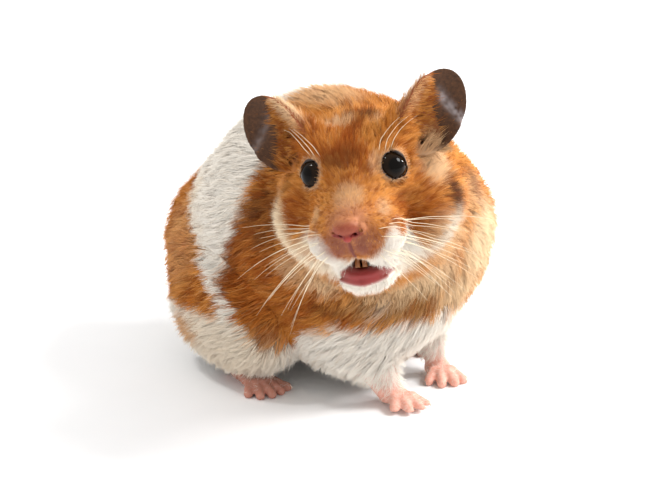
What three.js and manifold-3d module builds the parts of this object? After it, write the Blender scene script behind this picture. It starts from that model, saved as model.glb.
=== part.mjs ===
// A Syrian hamster at life size, standing with its head turned to its right.
// Millimetres, +Z up, the trunk's front towards -Y and the hamster's left towards +X.
// The outline is that of the coat. Flesh is described by forms: functions of a point that
// are negative inside, positive outside and close to the distance from the surface.
import * as THREE from 'three';
import { mergeVertices } from 'three/addons/utils/BufferGeometryUtils.js';
import Module from 'manifold-3d';

const wasm = await Module();
wasm.setup();

// ---------------------------------------------------------------- driving dimensions
const GAP = 0.3; // between neighbouring solids
const RIGHT = -1;
const LEFT = 1;

const HEAD = {
  at: [-21.5, -34.5, 57], // middle of the skull
  turn: 51, // degrees to the hamster's right
  tilt: 9, // degrees, the crown towards its right
  rise: 2, // degrees, nose up
  cutBehind: 9, // the neck's plane, measured square to it from the middle of the skull
  cutLean: 28, // degrees, the plane's lower edge towards the chin
};
const NECK = { at: [-10, -17, 46], ahead: [-0.5, -0.73, 0.46] }; // its plane with the trunk
const EYE = { radius: 3.0, at: [8.0, -10.2, 4.4] };
const NOSE = { at: [0, -24.4, -3.9], size: [3.2, 2.6, 2.5] };
const MOUTH = { at: [0, -13, -14], size: [5.2, 7.2, 2.5] };
const JAW_BACK = -9; // where the lower jaw parts from the cheeks
const INCISOR = { apart: 0.7, from: [-16, -10], to: [-17, -14], radius: 0.75 };
const TONGUE = { at: [0, -13, -16], size: [3, 4.6, 1.2] };
const EAR = {
  height: 17,
  width: 14.5,
  thickness: 1.3,
  cup: 3.6, // how far the rim stands in front of the middle
  at: { right: [16.3, 1, 11], left: [15.6, 1, 12.3] },
  outward: { right: 18, left: 36 }, // degrees, where the opening faces
  lean: { right: 25, left: 25 }, // degrees, the tip away from the crown
};

// Toes fan out from a foot's middle; pads are [middle, half sizes].
const CLAW = { length: 0.9, radius: 0.45 };
const FORE = {
  angles: [-42, -14, 14, 42],
  lengths: [3.0, 4.2, 4.2, 3.2],
  fan: 3.2, // from the middle of the fan to the toes' roots
  ahead: 0.4,
  toe: 1.1,
  pads: [[[0, 0.8, 1.7], [3.1, 3.4, 2.1]]],
  height: 4, // where the foot ends and the leg starts
};
const HIND = {
  angles: [-38, -17, 2, 21, 42],
  lengths: [2.6, 4.4, 4.9, 4.4, 2.8],
  fan: 4,
  ahead: 0,
  toe: 1.05,
  pads: [[[0, -1, 1.9], [3.2, 4.2, 2.1]], [[0, 5, 2.4], [2.7, 6.5, 2.8]]],
  height: 5.4,
};
// Each foot's place, how far its toes turn to the hamster's right, and the leg above it:
// from, to, and the radii there. A thigh is [middle, half sizes] of the egg that parts it.
const LEGS = {
  fore_right: {
    kind: FORE, at: [-5, -28.4, 0], turn: 6,
    leg: [[-10, -19, 16], [-6.2, -27, 2.8], 7, 3.3],
  },
  fore_left: {
    kind: FORE, at: [12.4, -22.6, 0], turn: 30,
    leg: [[12, -15, 19], [12.8, -21.6, 2.8], 6.5, 2.7],
  },
  hind_right: {
    kind: HIND, at: [-23.5, 1, 0], turn: 10,
    leg: [[-19, 12, 12], [-22.6, 6.5, 3], 7, 3],
    thigh: [[-25, 9, 15], [13, 18, 17]],
  },
  hind_left: {
    kind: HIND, at: [19.5, -1.5, 0], turn: -10,
    leg: [[18, 10, 12], [19.6, 5, 3], 7, 3],
    thigh: [[27, 8, 15], [13, 18, 17]],
  },
};
const TAIL = { points: [[1, 39, 19], [1, 45, 15.5], [1.4, 50, 14]], radii: [2.8, 2.3, 1.5] };

const degrees = THREE.MathUtils.degToRad;
const point = (values) => new THREE.Vector3(...values);

// ---------------------------------------------------------------- forms
// An ellipsoid, turned about Z by `turn` degrees.
function ball(at, size, turn = 0) {
  const c = Math.cos(degrees(turn));
  const s = Math.sin(degrees(turn));
  return (p) => {
    const dx = p.x - at[0];
    const dy = p.y - at[1];
    const x = (dx * c + dy * s) / size[0];
    const y = (dy * c - dx * s) / size[1];
    const z = (p.z - at[2]) / size[2];
    const k0 = Math.hypot(x, y, z);
    const k1 = Math.hypot(x / size[0], y / size[1], z / size[2]);
    return k0 < 1e-6 ? -Math.min(...size) : (k0 * (k0 - 1)) / k1;
  };
}

// A round limb from one point to another, with a radius at each end.
function limb(from, to, r0, r1) {
  const a = point(from);
  const ab = point(to).sub(a);
  return (p) => {
    const ap = p.clone().sub(a);
    const t = THREE.MathUtils.clamp(ap.dot(ab) / ab.lengthSq(), 0, 1);
    return ap.addScaledVector(ab, -t).length() - (r0 + (r1 - r0) * t);
  };
}

// Forms run into each other over about `soft` millimetres.
const melt = (soft, ...forms) => (p) =>
  -soft * Math.log(forms.reduce((sum, form) => sum + Math.exp(-form(p) / soft), 0));

const bothSides = (make) => [make(RIGHT), make(LEFT)];

// ---------------------------------------------------------------- solids
function solidOf(geometry) {
  const bare = geometry.clone();
  for (const name of Object.keys(bare.attributes)) {
    if (name !== 'position') bare.deleteAttribute(name);
  }
  const merged = mergeVertices(bare, 1e-4);
  return new wasm.Manifold(new wasm.Mesh({
    numProp: 3,
    vertProperties: merged.attributes.position.array,
    triVerts: new Uint32Array(merged.index.array),
  }));
}

function meshOf(name, solid, material) {
  const { vertProperties, numProp, triVerts } = solid.getMesh();
  const count = vertProperties.length / numProp;
  const positions = new Float32Array(count * 3);
  for (let i = 0; i < count; i++) {
    positions.set(vertProperties.subarray(i * numProp, i * numProp + 3), i * 3);
  }
  const geometry = new THREE.BufferGeometry()
    .setAttribute('position', new THREE.BufferAttribute(positions, 3))
    .setIndex(new THREE.BufferAttribute(triVerts, 1));
  geometry.computeVertexNormals();
  const mesh = new THREE.Mesh(geometry, material);
  mesh.name = name;
  return mesh;
}

// Moves every corner of a geometry: `move` changes the vector it is given.
function reshape(geometry, move) {
  const spots = geometry.attributes.position;
  const spot = new THREE.Vector3();
  for (let i = 0; i < spots.count; i++) {
    move(spot.fromBufferAttribute(spots, i));
    spots.setXYZ(i, spot.x, spot.y, spot.z);
  }
  return geometry;
}

// A ball of faces round `centre`, each corner sent along its ray to where the form is zero.
function wrap(centre, detail, form, reach = 80) {
  const c = point(centre);
  const spot = new THREE.Vector3();
  const isOutside = (ray, t) => form(spot.copy(c).addScaledVector(ray, t)) > 0;
  return solidOf(reshape(new THREE.IcosahedronGeometry(1, detail), (ray) => {
    let near = 0;
    while (near < reach && !isOutside(ray, near + 1)) near += 1;
    let far = near + 1;
    for (let k = 0; k < 20; k++) {
      const t = (near + far) / 2;
      if (isOutside(ray, t)) far = t;
      else near = t;
    }
    ray.multiplyScalar(near).add(c);
  }));
}

// A plain ellipsoid of faces.
function egg(at, size, across = 20, down = 14) {
  const geometry = new THREE.SphereGeometry(1, across, down);
  geometry.rotateX(Math.PI / 2).scale(...size).translate(...at);
  return solidOf(geometry);
}

// A bent round stalk along the points, with a radius at each point and rounded ends.
function stalk(points, radii, sides = 8, rings = 8) {
  const curve = new THREE.CatmullRomCurve3(points.map(point));
  const last = radii.length - 1;
  const widthAt = (t) => {
    const i = Math.min(Math.floor(t * last), last - 1);
    const along = THREE.MathUtils.lerp(radii[i], radii[i + 1], t * last - i);
    return along * Math.max(0.12, (1 - Math.abs(2 * t - 1) ** 7) ** 0.5);
  };
  const across = new THREE.Vector3();
  const over = new THREE.Vector3();
  return solidOf(reshape(new THREE.CylinderGeometry(1, 1, 1, sides, rings), (spot) => {
    const t = THREE.MathUtils.clamp(0.5 - spot.y, 0, 1);
    const ahead = curve.getTangent(t);
    across.set(-ahead.y, ahead.x, 0);
    if (across.lengthSq() < 1e-4) across.set(1, 0, 0);
    across.normalize();
    over.crossVectors(ahead, across);
    const { x, z } = spot;
    spot.copy(curve.getPoint(t))
      .addScaledVector(across, x * widthAt(t))
      .addScaledVector(over, z * widthAt(t));
  }));
}

// All of the half space beyond the plane through `at` that faces `normal`.
function halfSpace(at, normal) {
  const SIZE = 200;
  const box = new THREE.BoxGeometry(SIZE, SIZE, SIZE).translate(0, 0, SIZE / 2);
  const turn = new THREE.Quaternion().setFromUnitVectors(
    new THREE.Vector3(0, 0, 1),
    point(normal).normalize(),
  );
  return solidOf(box.applyQuaternion(turn).translate(...at));
}

const joined = (solids) => solids.reduce((all, one) => all.add(one));
const UNDERGROUND = halfSpace([0, 0, 0], [0, 0, -1]);

// ---------------------------------------------------------------- materials
const finish = (color, roughness) =>
  new THREE.MeshStandardMaterial({ color, roughness, metalness: 0 });
const goldenFur = finish(0xb9692f, 0.85);
const whiteFur = finish(0xf2ede4, 0.85);
const pinkSkin = finish(0xe8a79c, 0.55);
const earSkin = finish(0x5b443c, 0.45);
const eyeBlack = finish(0x0b0908, 0.08);
const ivory = finish(0xd9a860, 0.35);

const hamster = new THREE.Group();

// ---------------------------------------------------------------- the body's forms
const headGroup = new THREE.Group();
headGroup.position.set(...HEAD.at);
headGroup.rotation.set(degrees(-HEAD.rise), degrees(-HEAD.tilt), degrees(-HEAD.turn), 'ZXY');
headGroup.updateMatrixWorld(true);
hamster.add(headGroup);
const intoHead = headGroup.matrixWorld.clone().invert();

const headForm = melt(
  1.6,
  ball([0, 4, 0.5], [16, 15, 14]), // skull
  ball([0, -6.5, 0.5], [8.6, 11.5, 9]), // face
  ...bothSides((side) => ball([side * 11.5, 1.5, -6.5], [9, 12.5, 9.5])), // cheeks
  ball([0, -14, -4.4], [6.8, 10.4, 6]), // muzzle
  ...bothSides((side) => ball([side * 4.2, -16.8, -7], [4.4, 5.4, 4])), // whisker pads
  ball([0, -10.5, -15.6], [6.4, 7.2, 5.0]), // chin
  ...bothSides((side) => ball([side * 5.6, -7.5, 6.5], [3.6, 4.5, 3.5])), // brows
  ...bothSides((side) => ball([side * 14, 4, 10], [4, 4, 6])), // ear roots
);
const neckForm = limb([-3, -16, 43], [-15, -29, 48.5], 22, 18);
const trunkForm = melt(
  4,
  ball([2, 0, 36], [27, 31, 29]), // barrel
  ball([1, 24, 28], [27, 21, 25]), // rump
  ball([3, -13, 36.5], [28, 19, 22]), // shoulders
  ball([-3, -22, 28], [16, 13, 14]), // chest
  ball([1, 4, 20], [22, 30, 13]), // belly
  ball([-9, -18, 14], [8, 9, 9.5]), // right upper arm
  ball([13, -13, 23], [8, 9, 9]), // left upper arm
  ...bothSides((side) => ball([1 + side * 22, 11, 14], [9, 18, 12], side * 8)), // haunches
);
const bodyForm = melt(
  3,
  trunkForm,
  neckForm,
  (p) => headForm(p.clone().applyMatrix4(intoHead)),
);
const grown = (form, by) => (p) => form(p) - by;

// ---------------------------------------------------------------- whole solids and cuts
const HEAD_MIDDLE = [0, -4, -2];
const HEAD_DETAIL = 7;
const TRUNK_MIDDLE = [2, 6, 32];
const TRUNK_DETAIL = 6;
const NECK_MIDDLE = [-8, -20, 46];
const NECK_DETAIL = 4;
const LEG_DETAIL = 2;

const headWorld = headGroup.matrixWorld;
const cutNormal = [0, Math.cos(degrees(HEAD.cutLean)), -Math.sin(degrees(HEAD.cutLean))];
const cutAt = cutNormal.map((n) => n * HEAD.cutBehind);
const cutForm = (p) => p.dot(point(cutNormal)) - HEAD.cutBehind;
const bodyInHead = (p) => bodyForm(p.clone().applyMatrix4(headWorld));
const nearHead = (p) => Math.max(bodyInHead(p), cutForm(p) - 3);
const headPlane = {
  at: point(cutAt).applyMatrix4(headWorld).toArray(),
  normal: point(cutNormal).negate().transformDirection(headWorld).toArray(),
};
const shifted = (at, normal, by) =>
  point(normal).normalize().multiplyScalar(by).add(point(at)).toArray();

// The largest of a solid's parts, without the slivers that a cut leaves.
const largest = (solid) => solid.decompose().sort((a, b) => b.volume() - a.volume())[0];

// ---------------------------------------------------------------- head
function incisors(spare) {
  const { apart, from, to, radius } = INCISOR;
  return joined(bothSides((side) => stalk(
    [
      [side * apart, from[0], from[1]],
      [side * apart, (from[0] + to[0]) / 2 - 0.5, (from[1] + to[1]) / 2],
      [side * apart * 0.85, to[0], to[1] - spare],
    ],
    [radius + spare, radius + spare, radius + spare],
    6,
    3,
  )));
}
const tongue = (spare) => egg(TONGUE.at, TONGUE.size.map((r) => r + spare), 10, 6);

function makeHead() {
  const whole = wrap(HEAD_MIDDLE, HEAD_DETAIL, nearHead);
  const sockets = bothSides((side) =>
    egg([side * EYE.at[0], EYE.at[1], EYE.at[2]], Array(3).fill(EYE.radius + GAP), 12, 8));
  const noseBed = egg(NOSE.at, NOSE.size.map((r) => r + GAP), 12, 6);
  const mouth = egg(MOUTH.at, MOUTH.size, 14, 8);
  const behind = halfSpace(cutAt, cutNormal);
  const bare = whole.subtract(joined([
    ...sockets, noseBed, mouth, behind, incisors(GAP), tongue(GAP),
  ]));
  const jawRegion = (spare) => {
    const size = 40;
    const box = new THREE.BoxGeometry(size, size, size);
    box.translate(0, JAW_BACK - size / 2 + spare, MOUTH.at[2] - size / 2 + spare);
    return solidOf(box);
  };
  headGroup.add(
    meshOf('head', largest(bare.subtract(jawRegion(GAP))), goldenFur),
    meshOf('lower_jaw', largest(bare.intersect(jawRegion(0))), whiteFur),
    meshOf('nose', egg(NOSE.at, NOSE.size, 12, 6), pinkSkin),
    meshOf('upper_incisors', incisors(0), ivory),
    meshOf('tongue', tongue(0), pinkSkin),
  );
}

function makeEye(name, side) {
  const at = [side * EYE.at[0], EYE.at[1], EYE.at[2]];
  headGroup.add(meshOf(name, egg(at, Array(3).fill(EYE.radius), 12, 8), eyeBlack));
}

// An ear is a petal, hollow in front, whose sides curl forward more towards the root.
function earShell() {
  return solidOf(reshape(new THREE.SphereGeometry(1, 14, 10), (spot) => {
    const { x, y, z } = spot;
    const curl = x * x * (1 - 0.35 * y) + 0.25 * Math.max(0, y) ** 3;
    spot.set(
      x * (EAR.width / 2) * (0.95 + 0.1 * y),
      -(z * EAR.thickness) / 2 - EAR.cup * curl,
      y * (EAR.height / 2),
    );
  }));
}

function makeEar(word, side) {
  const placed = new THREE.Object3D();
  placed.position.set(side * EAR.at[word][0], EAR.at[word][1], EAR.at[word][2]);
  placed.rotation.set(0, degrees(side * EAR.lean[word]), degrees(side * EAR.outward[word]), 'ZYX');
  placed.updateMatrix();
  const headSkin = wrap(HEAD_MIDDLE, HEAD_DETAIL, grown(nearHead, 1.5 * GAP));
  const ear = earShell().transform(placed.matrix.toArray()).subtract(headSkin);
  headGroup.add(meshOf(`ear_${word}`, largest(ear), earSkin));
}

makeHead();
for (const [word, side] of [['right', RIGHT], ['left', LEFT]]) {
  makeEye(`eye_${word}`, side);
  makeEar(word, side);
}

// ---------------------------------------------------------------- legs and feet
// A foot's pads, toes and claws, toes towards its own -Y, all larger by `spare`.
function footParts({ angles, lengths, fan, ahead, toe, pads }, spare) {
  const parts = pads.map(([at, size]) => egg(at, size.map((r) => r + spare), 8, 6));
  angles.forEach((angle, i) => {
    const across = Math.sin(degrees(angle));
    const forward = Math.cos(degrees(angle));
    const along = (reach, z) => [across * reach, ahead - forward * reach, z];
    const tip = fan + lengths[i];
    const toeRadius = toe + spare;
    const clawRadius = CLAW.radius + spare;
    parts.push(stalk(
      [along(0.4 * fan, 1.8), along(0.55 * tip, 2.1), along(tip, 0.8)],
      [toeRadius, 1.05 * toeRadius, 0.85 * toeRadius],
      5,
      3,
    ));
    parts.push(stalk(
      [along(tip - 1, 1.1), along(tip + 0.3, 1.0), along(tip + CLAW.length, 0.35)],
      [clawRadius, clawRadius, 0.45 * clawRadius],
      4,
      1,
    ));
  });
  return joined(parts);
}

const slab = (low, high) =>
  solidOf(new THREE.BoxGeometry(200, 200, high - low).translate(0, 0, (low + high) / 2));

const flesh = wrap(TRUNK_MIDDLE, TRUNK_DETAIL, bodyForm);
const fleshGrown = wrap(TRUNK_MIDDLE, TRUNK_DETAIL, grown(bodyForm, 1.5 * GAP));
const trunkCuts = [halfSpace(NECK.at, NECK.ahead)];

for (const [name, { kind, at, turn, leg, thigh }] of Object.entries(LEGS)) {
  const place = new THREE.Object3D();
  place.position.set(...at);
  place.rotation.z = degrees(-turn);
  place.updateMatrix();
  const limbSolid = (spare) =>
    wrap(point(leg[0]).lerp(point(leg[1]), 0.5).toArray(), LEG_DETAIL, grown(limb(...leg), spare));
  const footSolid = (spare) => footParts(kind, spare)
    .transform(place.matrix.toArray())
    .add(limbSolid(spare).intersect(slab(-5, kind.height)))
    .subtract(UNDERGROUND);
  const aboveFoot = limbSolid(0).intersect(slab(kind.height + GAP, 100));

  hamster.add(meshOf(`foot_${name}`, footSolid(0), pinkSkin));
  if (thigh) {
    const [thighAt, size] = thigh;
    const region = egg(thighAt, size, 12, 8);
    const upper = flesh.intersect(region).add(aboveFoot).subtract(footSolid(GAP));
    hamster.add(meshOf(`leg_${name}`, largest(upper), whiteFur));
    trunkCuts.push(
      egg(thighAt, size.map((r) => r + GAP), 12, 8),
      limbSolid(GAP),
      footSolid(GAP),
    );
  } else {
    hamster.add(meshOf(`leg_${name}`, largest(aboveFoot.subtract(fleshGrown)), whiteFur));
  }
}

// ---------------------------------------------------------------- trunk, neck and tail
const trunk = flesh.subtract(joined(trunkCuts));
const neckHalf = halfSpace(shifted(NECK.at, NECK.ahead, GAP), NECK.ahead);
const headHalf = halfSpace(shifted(headPlane.at, headPlane.normal, -GAP), headPlane.normal);
const neck = wrap(NECK_MIDDLE, NECK_DETAIL, bodyForm).intersect(neckHalf).subtract(headHalf);
const tail = stalk(TAIL.points, TAIL.radii, 10, 8).subtract(fleshGrown);
hamster.add(
  meshOf('trunk', largest(trunk), goldenFur),
  meshOf('neck', largest(neck), goldenFur),
  meshOf('tail', largest(tail), pinkSkin),
);

// The origin is under the middle of the whole, on the floor.
hamster.updateMatrixWorld(true);
const middle = new THREE.Box3().setFromObject(hamster, true).getCenter(new THREE.Vector3());
hamster.position.set(-middle.x, -middle.y, 0);

export default hamster;
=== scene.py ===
"""A life-size Syrian hamster, still and standing.

One skin stands for all the solids of flesh, and the coat, eyes, teeth, tongue, claws and whiskers sit on it.
Shapes are worked out in millimetres in the trunk's frame, and put in the row's frame in metres at the end.
"""

import math
from itertools import product

import bpy
import numpy as np
from bpy.props import FloatProperty, FloatVectorProperty, IntProperty, PointerProperty
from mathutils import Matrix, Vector
from mathutils.kdtree import KDTree


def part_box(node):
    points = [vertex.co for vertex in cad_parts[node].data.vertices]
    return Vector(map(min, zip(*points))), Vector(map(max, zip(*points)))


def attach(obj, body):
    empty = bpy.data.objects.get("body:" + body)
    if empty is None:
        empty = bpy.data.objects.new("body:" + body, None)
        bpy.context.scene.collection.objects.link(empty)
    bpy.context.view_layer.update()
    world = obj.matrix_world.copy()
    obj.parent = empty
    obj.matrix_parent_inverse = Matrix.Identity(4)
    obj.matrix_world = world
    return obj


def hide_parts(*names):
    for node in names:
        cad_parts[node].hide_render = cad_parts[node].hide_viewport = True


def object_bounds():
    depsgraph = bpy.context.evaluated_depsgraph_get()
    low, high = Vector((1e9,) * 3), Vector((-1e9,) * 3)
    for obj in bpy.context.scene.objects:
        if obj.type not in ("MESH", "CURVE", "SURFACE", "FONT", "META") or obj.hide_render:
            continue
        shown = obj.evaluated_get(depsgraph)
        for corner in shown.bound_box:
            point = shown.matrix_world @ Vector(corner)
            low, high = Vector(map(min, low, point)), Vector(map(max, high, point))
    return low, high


bl_info = {
    "name": "Hamster",
    "version": (1, 0, 0),
    "blender": (4, 5, 0),
    "location": "3D View > Sidebar > Hamster",
    "description": "Skin, coat, eyes, teeth, claws and whiskers of a standing hamster",
    "category": "Add Mesh",
}

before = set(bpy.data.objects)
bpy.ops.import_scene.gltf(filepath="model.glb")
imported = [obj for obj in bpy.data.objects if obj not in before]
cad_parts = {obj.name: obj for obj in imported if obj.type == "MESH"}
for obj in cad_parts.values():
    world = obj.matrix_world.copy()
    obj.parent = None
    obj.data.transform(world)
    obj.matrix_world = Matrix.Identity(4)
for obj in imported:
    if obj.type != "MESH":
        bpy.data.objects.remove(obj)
CAD_BOX = [list(corner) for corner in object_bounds()]

MM = 0.001
SIDES = {"right": -1, "left": 1}
CORNERS = list(product((0, 1), repeat=3))  # of one cell of a grid


# ---------------- places and sizes of the solids, in millimetres

def rotation(axis, degrees):
    """The 3 x 3 matrix of a turn about x, y or z."""
    c, s = math.cos(math.radians(degrees)), math.sin(math.radians(degrees))
    i, j = [(1, 2), (2, 0), (0, 1)]["xyz".index(axis)]
    m = np.eye(3)
    m[i, i] = m[j, j] = c
    m[i, j], m[j, i] = -s, s
    return m


HEAD_AT = np.array([-21.5, -34.5, 57.0])
HEAD_TURN = rotation("z", -51) @ rotation("x", -2) @ rotation("y", -9)
EYE_AT = (7.6, -10.2, 4.1)
EYE_RADIUS = 3.25
EYE_LOOKS = np.array([0.55, -0.80, 0.24]) / np.linalg.norm([0.55, -0.80, 0.24])
SOLID_EYE_AT = (8.0, -10.2, 4.4)
NOSE_AT = np.array([0.0, -24.4, -3.9])
EAR = {
    "height": 18.4, "width": 11.8, "cup": 2.9,
    "at": {"right": (15.9, -2, 11.5), "left": (16, -1.3, 12.5)},
    "outward": {"right": 5, "left": 15}, "lean": {"right": 36, "left": 33.5}, "back": 8,
}
FORE = {
    "angles": (-40, -13, 12, 34), "lengths": (3.0, 3.9, 4.0, 3.4), "fan": 3.2, "ahead": 0.4, "toe": 1.36,
    "pads": [((0, 0.8, 1.7), (3.1, 3.4, 2.1))],
}
HIND = {
    "angles": (-38, -17, 2, 21, 42), "lengths": (2.8, 4.0, 4.3, 4.1, 3.2), "fan": 4, "ahead": 0, "toe": 1.28,
    "pads": [((0, -1, 1.9), (3.2, 4.2, 2.1)), ((0, 5, 2.4), (2.7, 6.5, 2.8))],
}
LEGS = {
    "fore_right": {"kind": FORE, "at": (-5.2, -27.4, 0), "turn": 6,
                   "leg": ((-10, -19, 16), (-6.2, -26.1, 2.8), 7, 3.6)},
    "fore_left": {"kind": FORE, "at": (13.2, -21.2, 0), "turn": 24,
                  "leg": ((12, -15, 19), (13.4, -20.1, 2.8), 6.5, 2.9)},
    "hind_right": {"kind": HIND, "at": (-23.2, 1.6, 0), "turn": 10,
                   "leg": ((-19, 12, 12), (-22.6, 6.5, 3), 7, 3), "thigh": ((-25, 9, 15), (13, 18, 17))},
    "hind_left": {"kind": HIND, "at": (19.5, -1.5, 0), "turn": -10,
                  "leg": ((18, 10, 12), (19.6, 5, 3), 7, 3), "thigh": ((27, 8, 15), (13, 18, 17))},
}
CLAW_LENGTH = 0.9
HEAD_BALLS = {  # in the head's frame: middle, half sizes
    "skull": ((0, 4, 0.5), (16, 15, 14)), "face": ((0, -6.5, 0.5), (8.6, 11.5, 9)),
    "muzzle": ((0, -14, -4.4), (6.8, 10.4, 6)), "chin": ((0, -10.8, -16), (6.6, 7.4, 6)),
}
HEAD_PAIRS = {  # the same, on both sides
    "cheek": ((11.5, 1.5, -6.5), (9, 12.5, 9.5)), "whisker pad": ((4.9, -16.6, -8), (5, 5.4, 4.8)),
    "brow": ((5.6, -7.5, 6.5), (3.6, 4.5, 3.5)), "ear root": ((14, 4, 10), (4, 4, 6)),
}
TRUNK_BALLS = {
    "barrel": ((-0.8, 2.2, 37.8), (28.3, 29.3, 28.1)), "rump": ((0.4, 24, 26), (27.2, 22.2, 21.6)),
    "shoulders": ((2.9, -13.4, 36.1), (28.2, 20.2, 17.3)), "chest": ((-3, -22, 28), (16, 13, 14)),
    "belly": ((1, 4, 20), (22, 30, 13)), "right upper arm": ((-9, -18, 14), (8, 9, 9.5)),
    "left upper arm": ((13, -13, 23), (8, 9, 9)),
}
HAUNCH_SIZE = (9, 18, 12)
NECK = ((-3, -16, 43), (-15, -29, 48.5), 22, 18)  # from, to, and the radius at each
TAIL = (((1, 39, 19), (1, 45, 15.5), 2.3, 1.9), ((1, 45, 15.5), (1.4, 50, 14), 1.9, 1.2))
FLESH = ["head", "lower_jaw", "nose", "neck", "trunk", "tail", "ear_right", "ear_left"]
FLESH += [f"{part}_{leg}" for part in ("leg", "foot") for leg in LEGS]


def to_head(p):
    return (p - HEAD_AT) @ HEAD_TURN


def from_head(q):
    return np.asarray(q, float) @ HEAD_TURN.T + HEAD_AT


def solid_eye(side):
    return from_head([side * SOLID_EYE_AT[0], SOLID_EYE_AT[1], SOLID_EYE_AT[2]])


def row_shift():
    """What the row's origin adds to the trunk's frame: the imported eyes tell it."""
    found = [
        (np.array(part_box(f"eye_{word}")[0]) + np.array(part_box(f"eye_{word}")[1])) / 2 / MM - solid_eye(side)
        for word, side in SIDES.items()
    ]
    shift = np.mean(found, axis=0)
    shift[2] = 0
    return shift


SHIFT = row_shift()


def to_row(p):
    """Points in the trunk's frame, in millimetres, as points of the row's frame, in metres."""
    return (np.asarray(p) + SHIFT) * MM


# ---------------- forms: below 0 inside, above 0 outside

def length(v):
    return np.sqrt(np.einsum("ij,ij->i", v, v))


def unit(v):
    return v / np.maximum(length(v), 1e-9)[:, None]


def ball(p, at, size, turn=0.0):
    """An ellipsoid about at, with half sizes size, turned about the upright axis."""
    q = p - np.asarray(at, p.dtype)
    if turn:
        c, s = math.cos(math.radians(turn)), math.sin(math.radians(turn))
        q = np.stack([q[:, 0] * c + q[:, 1] * s, q[:, 1] * c - q[:, 0] * s, q[:, 2]], 1)
    q = q / np.asarray(size, p.dtype)
    near = length(q)
    return near * (near - 1) / np.maximum(length(q / np.asarray(size, p.dtype)), 1e-6)


def limb(p, a, b, first, last):
    """A round limb from a to b whose radius goes from first to last."""
    a = np.asarray(a, p.dtype)
    ab = np.asarray(b, p.dtype) - a
    t = np.clip((p - a) @ ab / (ab @ ab), 0, 1)
    return length(p - a - t[:, None] * ab) - (first + (last - first) * t)


def melt(soft, *forms):
    """Forms run into one another, over about soft millimetres."""
    forms = np.stack(forms)
    least = forms.min(0)
    return least - soft * np.log(np.exp(-(forms - least) / soft).sum(0))


def join(a, b, soft):
    h = np.clip(0.5 + 0.5 * (b - a) / soft, 0, 1)
    return b * (1 - h) + a * h - soft * h * (1 - h)


def cut(a, b, soft):
    return -join(-a, b, soft)


def mirrored(q):
    """Head points brought over to its left side."""
    return np.stack([np.abs(q[:, 0]), q[:, 1], q[:, 2]], 1)


def ease(low, high, x):
    """0 below low, 1 above high, smooth between."""
    t = np.clip((x - low) / (high - low), 0, 1)
    return t * t * (3 - 2 * t)


def head_form(p):
    q = to_head(p)
    forms = [ball(q, at, size) for at, size in HEAD_BALLS.values()]
    for s in SIDES.values():
        forms += [ball(q, (s * x, y, z), size) for (x, y, z), size in HEAD_PAIRS.values()]
    return melt(1.6, *forms)


def trunk_form(p):
    forms = [ball(p, at, size) for at, size in TRUNK_BALLS.values()]
    forms += [ball(p, (1 + s * 22, 11, 14), HAUNCH_SIZE, s * 8) for s in SIDES.values()]
    return melt(4, *forms)


def body_form(p):
    return melt(3, trunk_form(p), limb(p, *NECK), head_form(p))


def head_lead(p):
    """How much nearer the trunk is than the head: below 0 on the head."""
    return head_form(p) - np.minimum(trunk_form(p), 8)


def from_nose(p):
    """0 at the nose, rising to 1 at 35 mm from it."""
    return np.clip((length(p - from_head(NOSE_AT).astype(p.dtype)) - 3) / 32, 0, 1)


def coat_depth(p):
    """How far the skin lies inside the coat's tips: least on the nose, most on the trunk."""
    low = ease(14, 4, p[:, 2])
    return (0.2 + 2.8 * from_nose(p) ** 1.5) * (1 - 0.45 * low)


def foot_points(leg):
    """The toes of a foot: for each, its direction on the floor and three joints out to the tip."""
    kind = leg["kind"]
    turn = rotation("z", -leg["turn"])
    toes = []
    for angle, longer in zip(kind["angles"], kind["lengths"]):
        a = math.radians(angle)
        tip = kind["fan"] + longer

        def along(reach, z):
            return turn @ np.array([math.sin(a) * reach, kind["ahead"] - math.cos(a) * reach, z]) + leg["at"]

        toes.append({"along": along, "tip": tip, "joints": [
            along(0.4 * kind["fan"], 1.8), along(0.55 * tip, 2.0), along(0.82 * tip, 1.35),
            along(tip, 0.85)]})
    return toes


def foot_form(p, leg):
    kind = leg["kind"]
    q = (p - np.asarray(leg["at"], p.dtype)) @ rotation("z", -leg["turn"]).astype(p.dtype)
    f = None
    for at, size in kind["pads"]:
        pad = ball(q, at, size)
        f = pad if f is None else join(f, pad, 1.5)
    thick = kind["toe"]
    for toe in foot_points(leg):
        a, b, c, d = toe["joints"]
        digit = limb(p, a, b, thick, 1.02 * thick)
        digit = join(digit, limb(p, b, c, 0.98 * thick, 0.86 * thick), 0.25)
        digit = join(digit, limb(p, c, d, 0.84 * thick, 0.8 * thick), 0.25)
        digit = join(digit, ball(p, toe["along"](toe["tip"] - 0.25, 0.72), (0.95, 0.95, 0.8)), 0.3)
        f = join(f, digit, 0.7)
    return np.maximum(f, -p[:, 2])


def ear_frame(word):
    side = SIDES[word]
    turn = rotation("z", side * EAR["outward"][word]) @ rotation("y", side * EAR["lean"][word])
    turn = turn @ rotation("x", -EAR["back"])
    x, y, z = EAR["at"][word]
    return np.array([side * x, y, z]), turn


def in_ear(q, word):
    """Head points in an ear's own frame, in millimetres."""
    at, turn = ear_frame(word)
    return (q - at.astype(q.dtype)) @ turn.astype(q.dtype)


def ear_place(q, word):
    """Head points seen from the ear: across and up its shell from -1 to 1, how far off the shell, and
    how far from its middle towards the rim, which is at 1."""
    e = in_ear(q, word)
    v = np.clip(e[:, 2] / (EAR["height"] / 2), -1.35, 1.35)
    u = np.clip(e[:, 0] / (EAR["width"] / 2), -1.35, 1.35)
    curl = u ** 2 * (1 - 0.35 * v) + 0.25 * np.maximum(0, v) ** 3
    return u, v, e[:, 1] + EAR["cup"] * curl, np.sqrt(u ** 2 + v ** 2)


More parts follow.
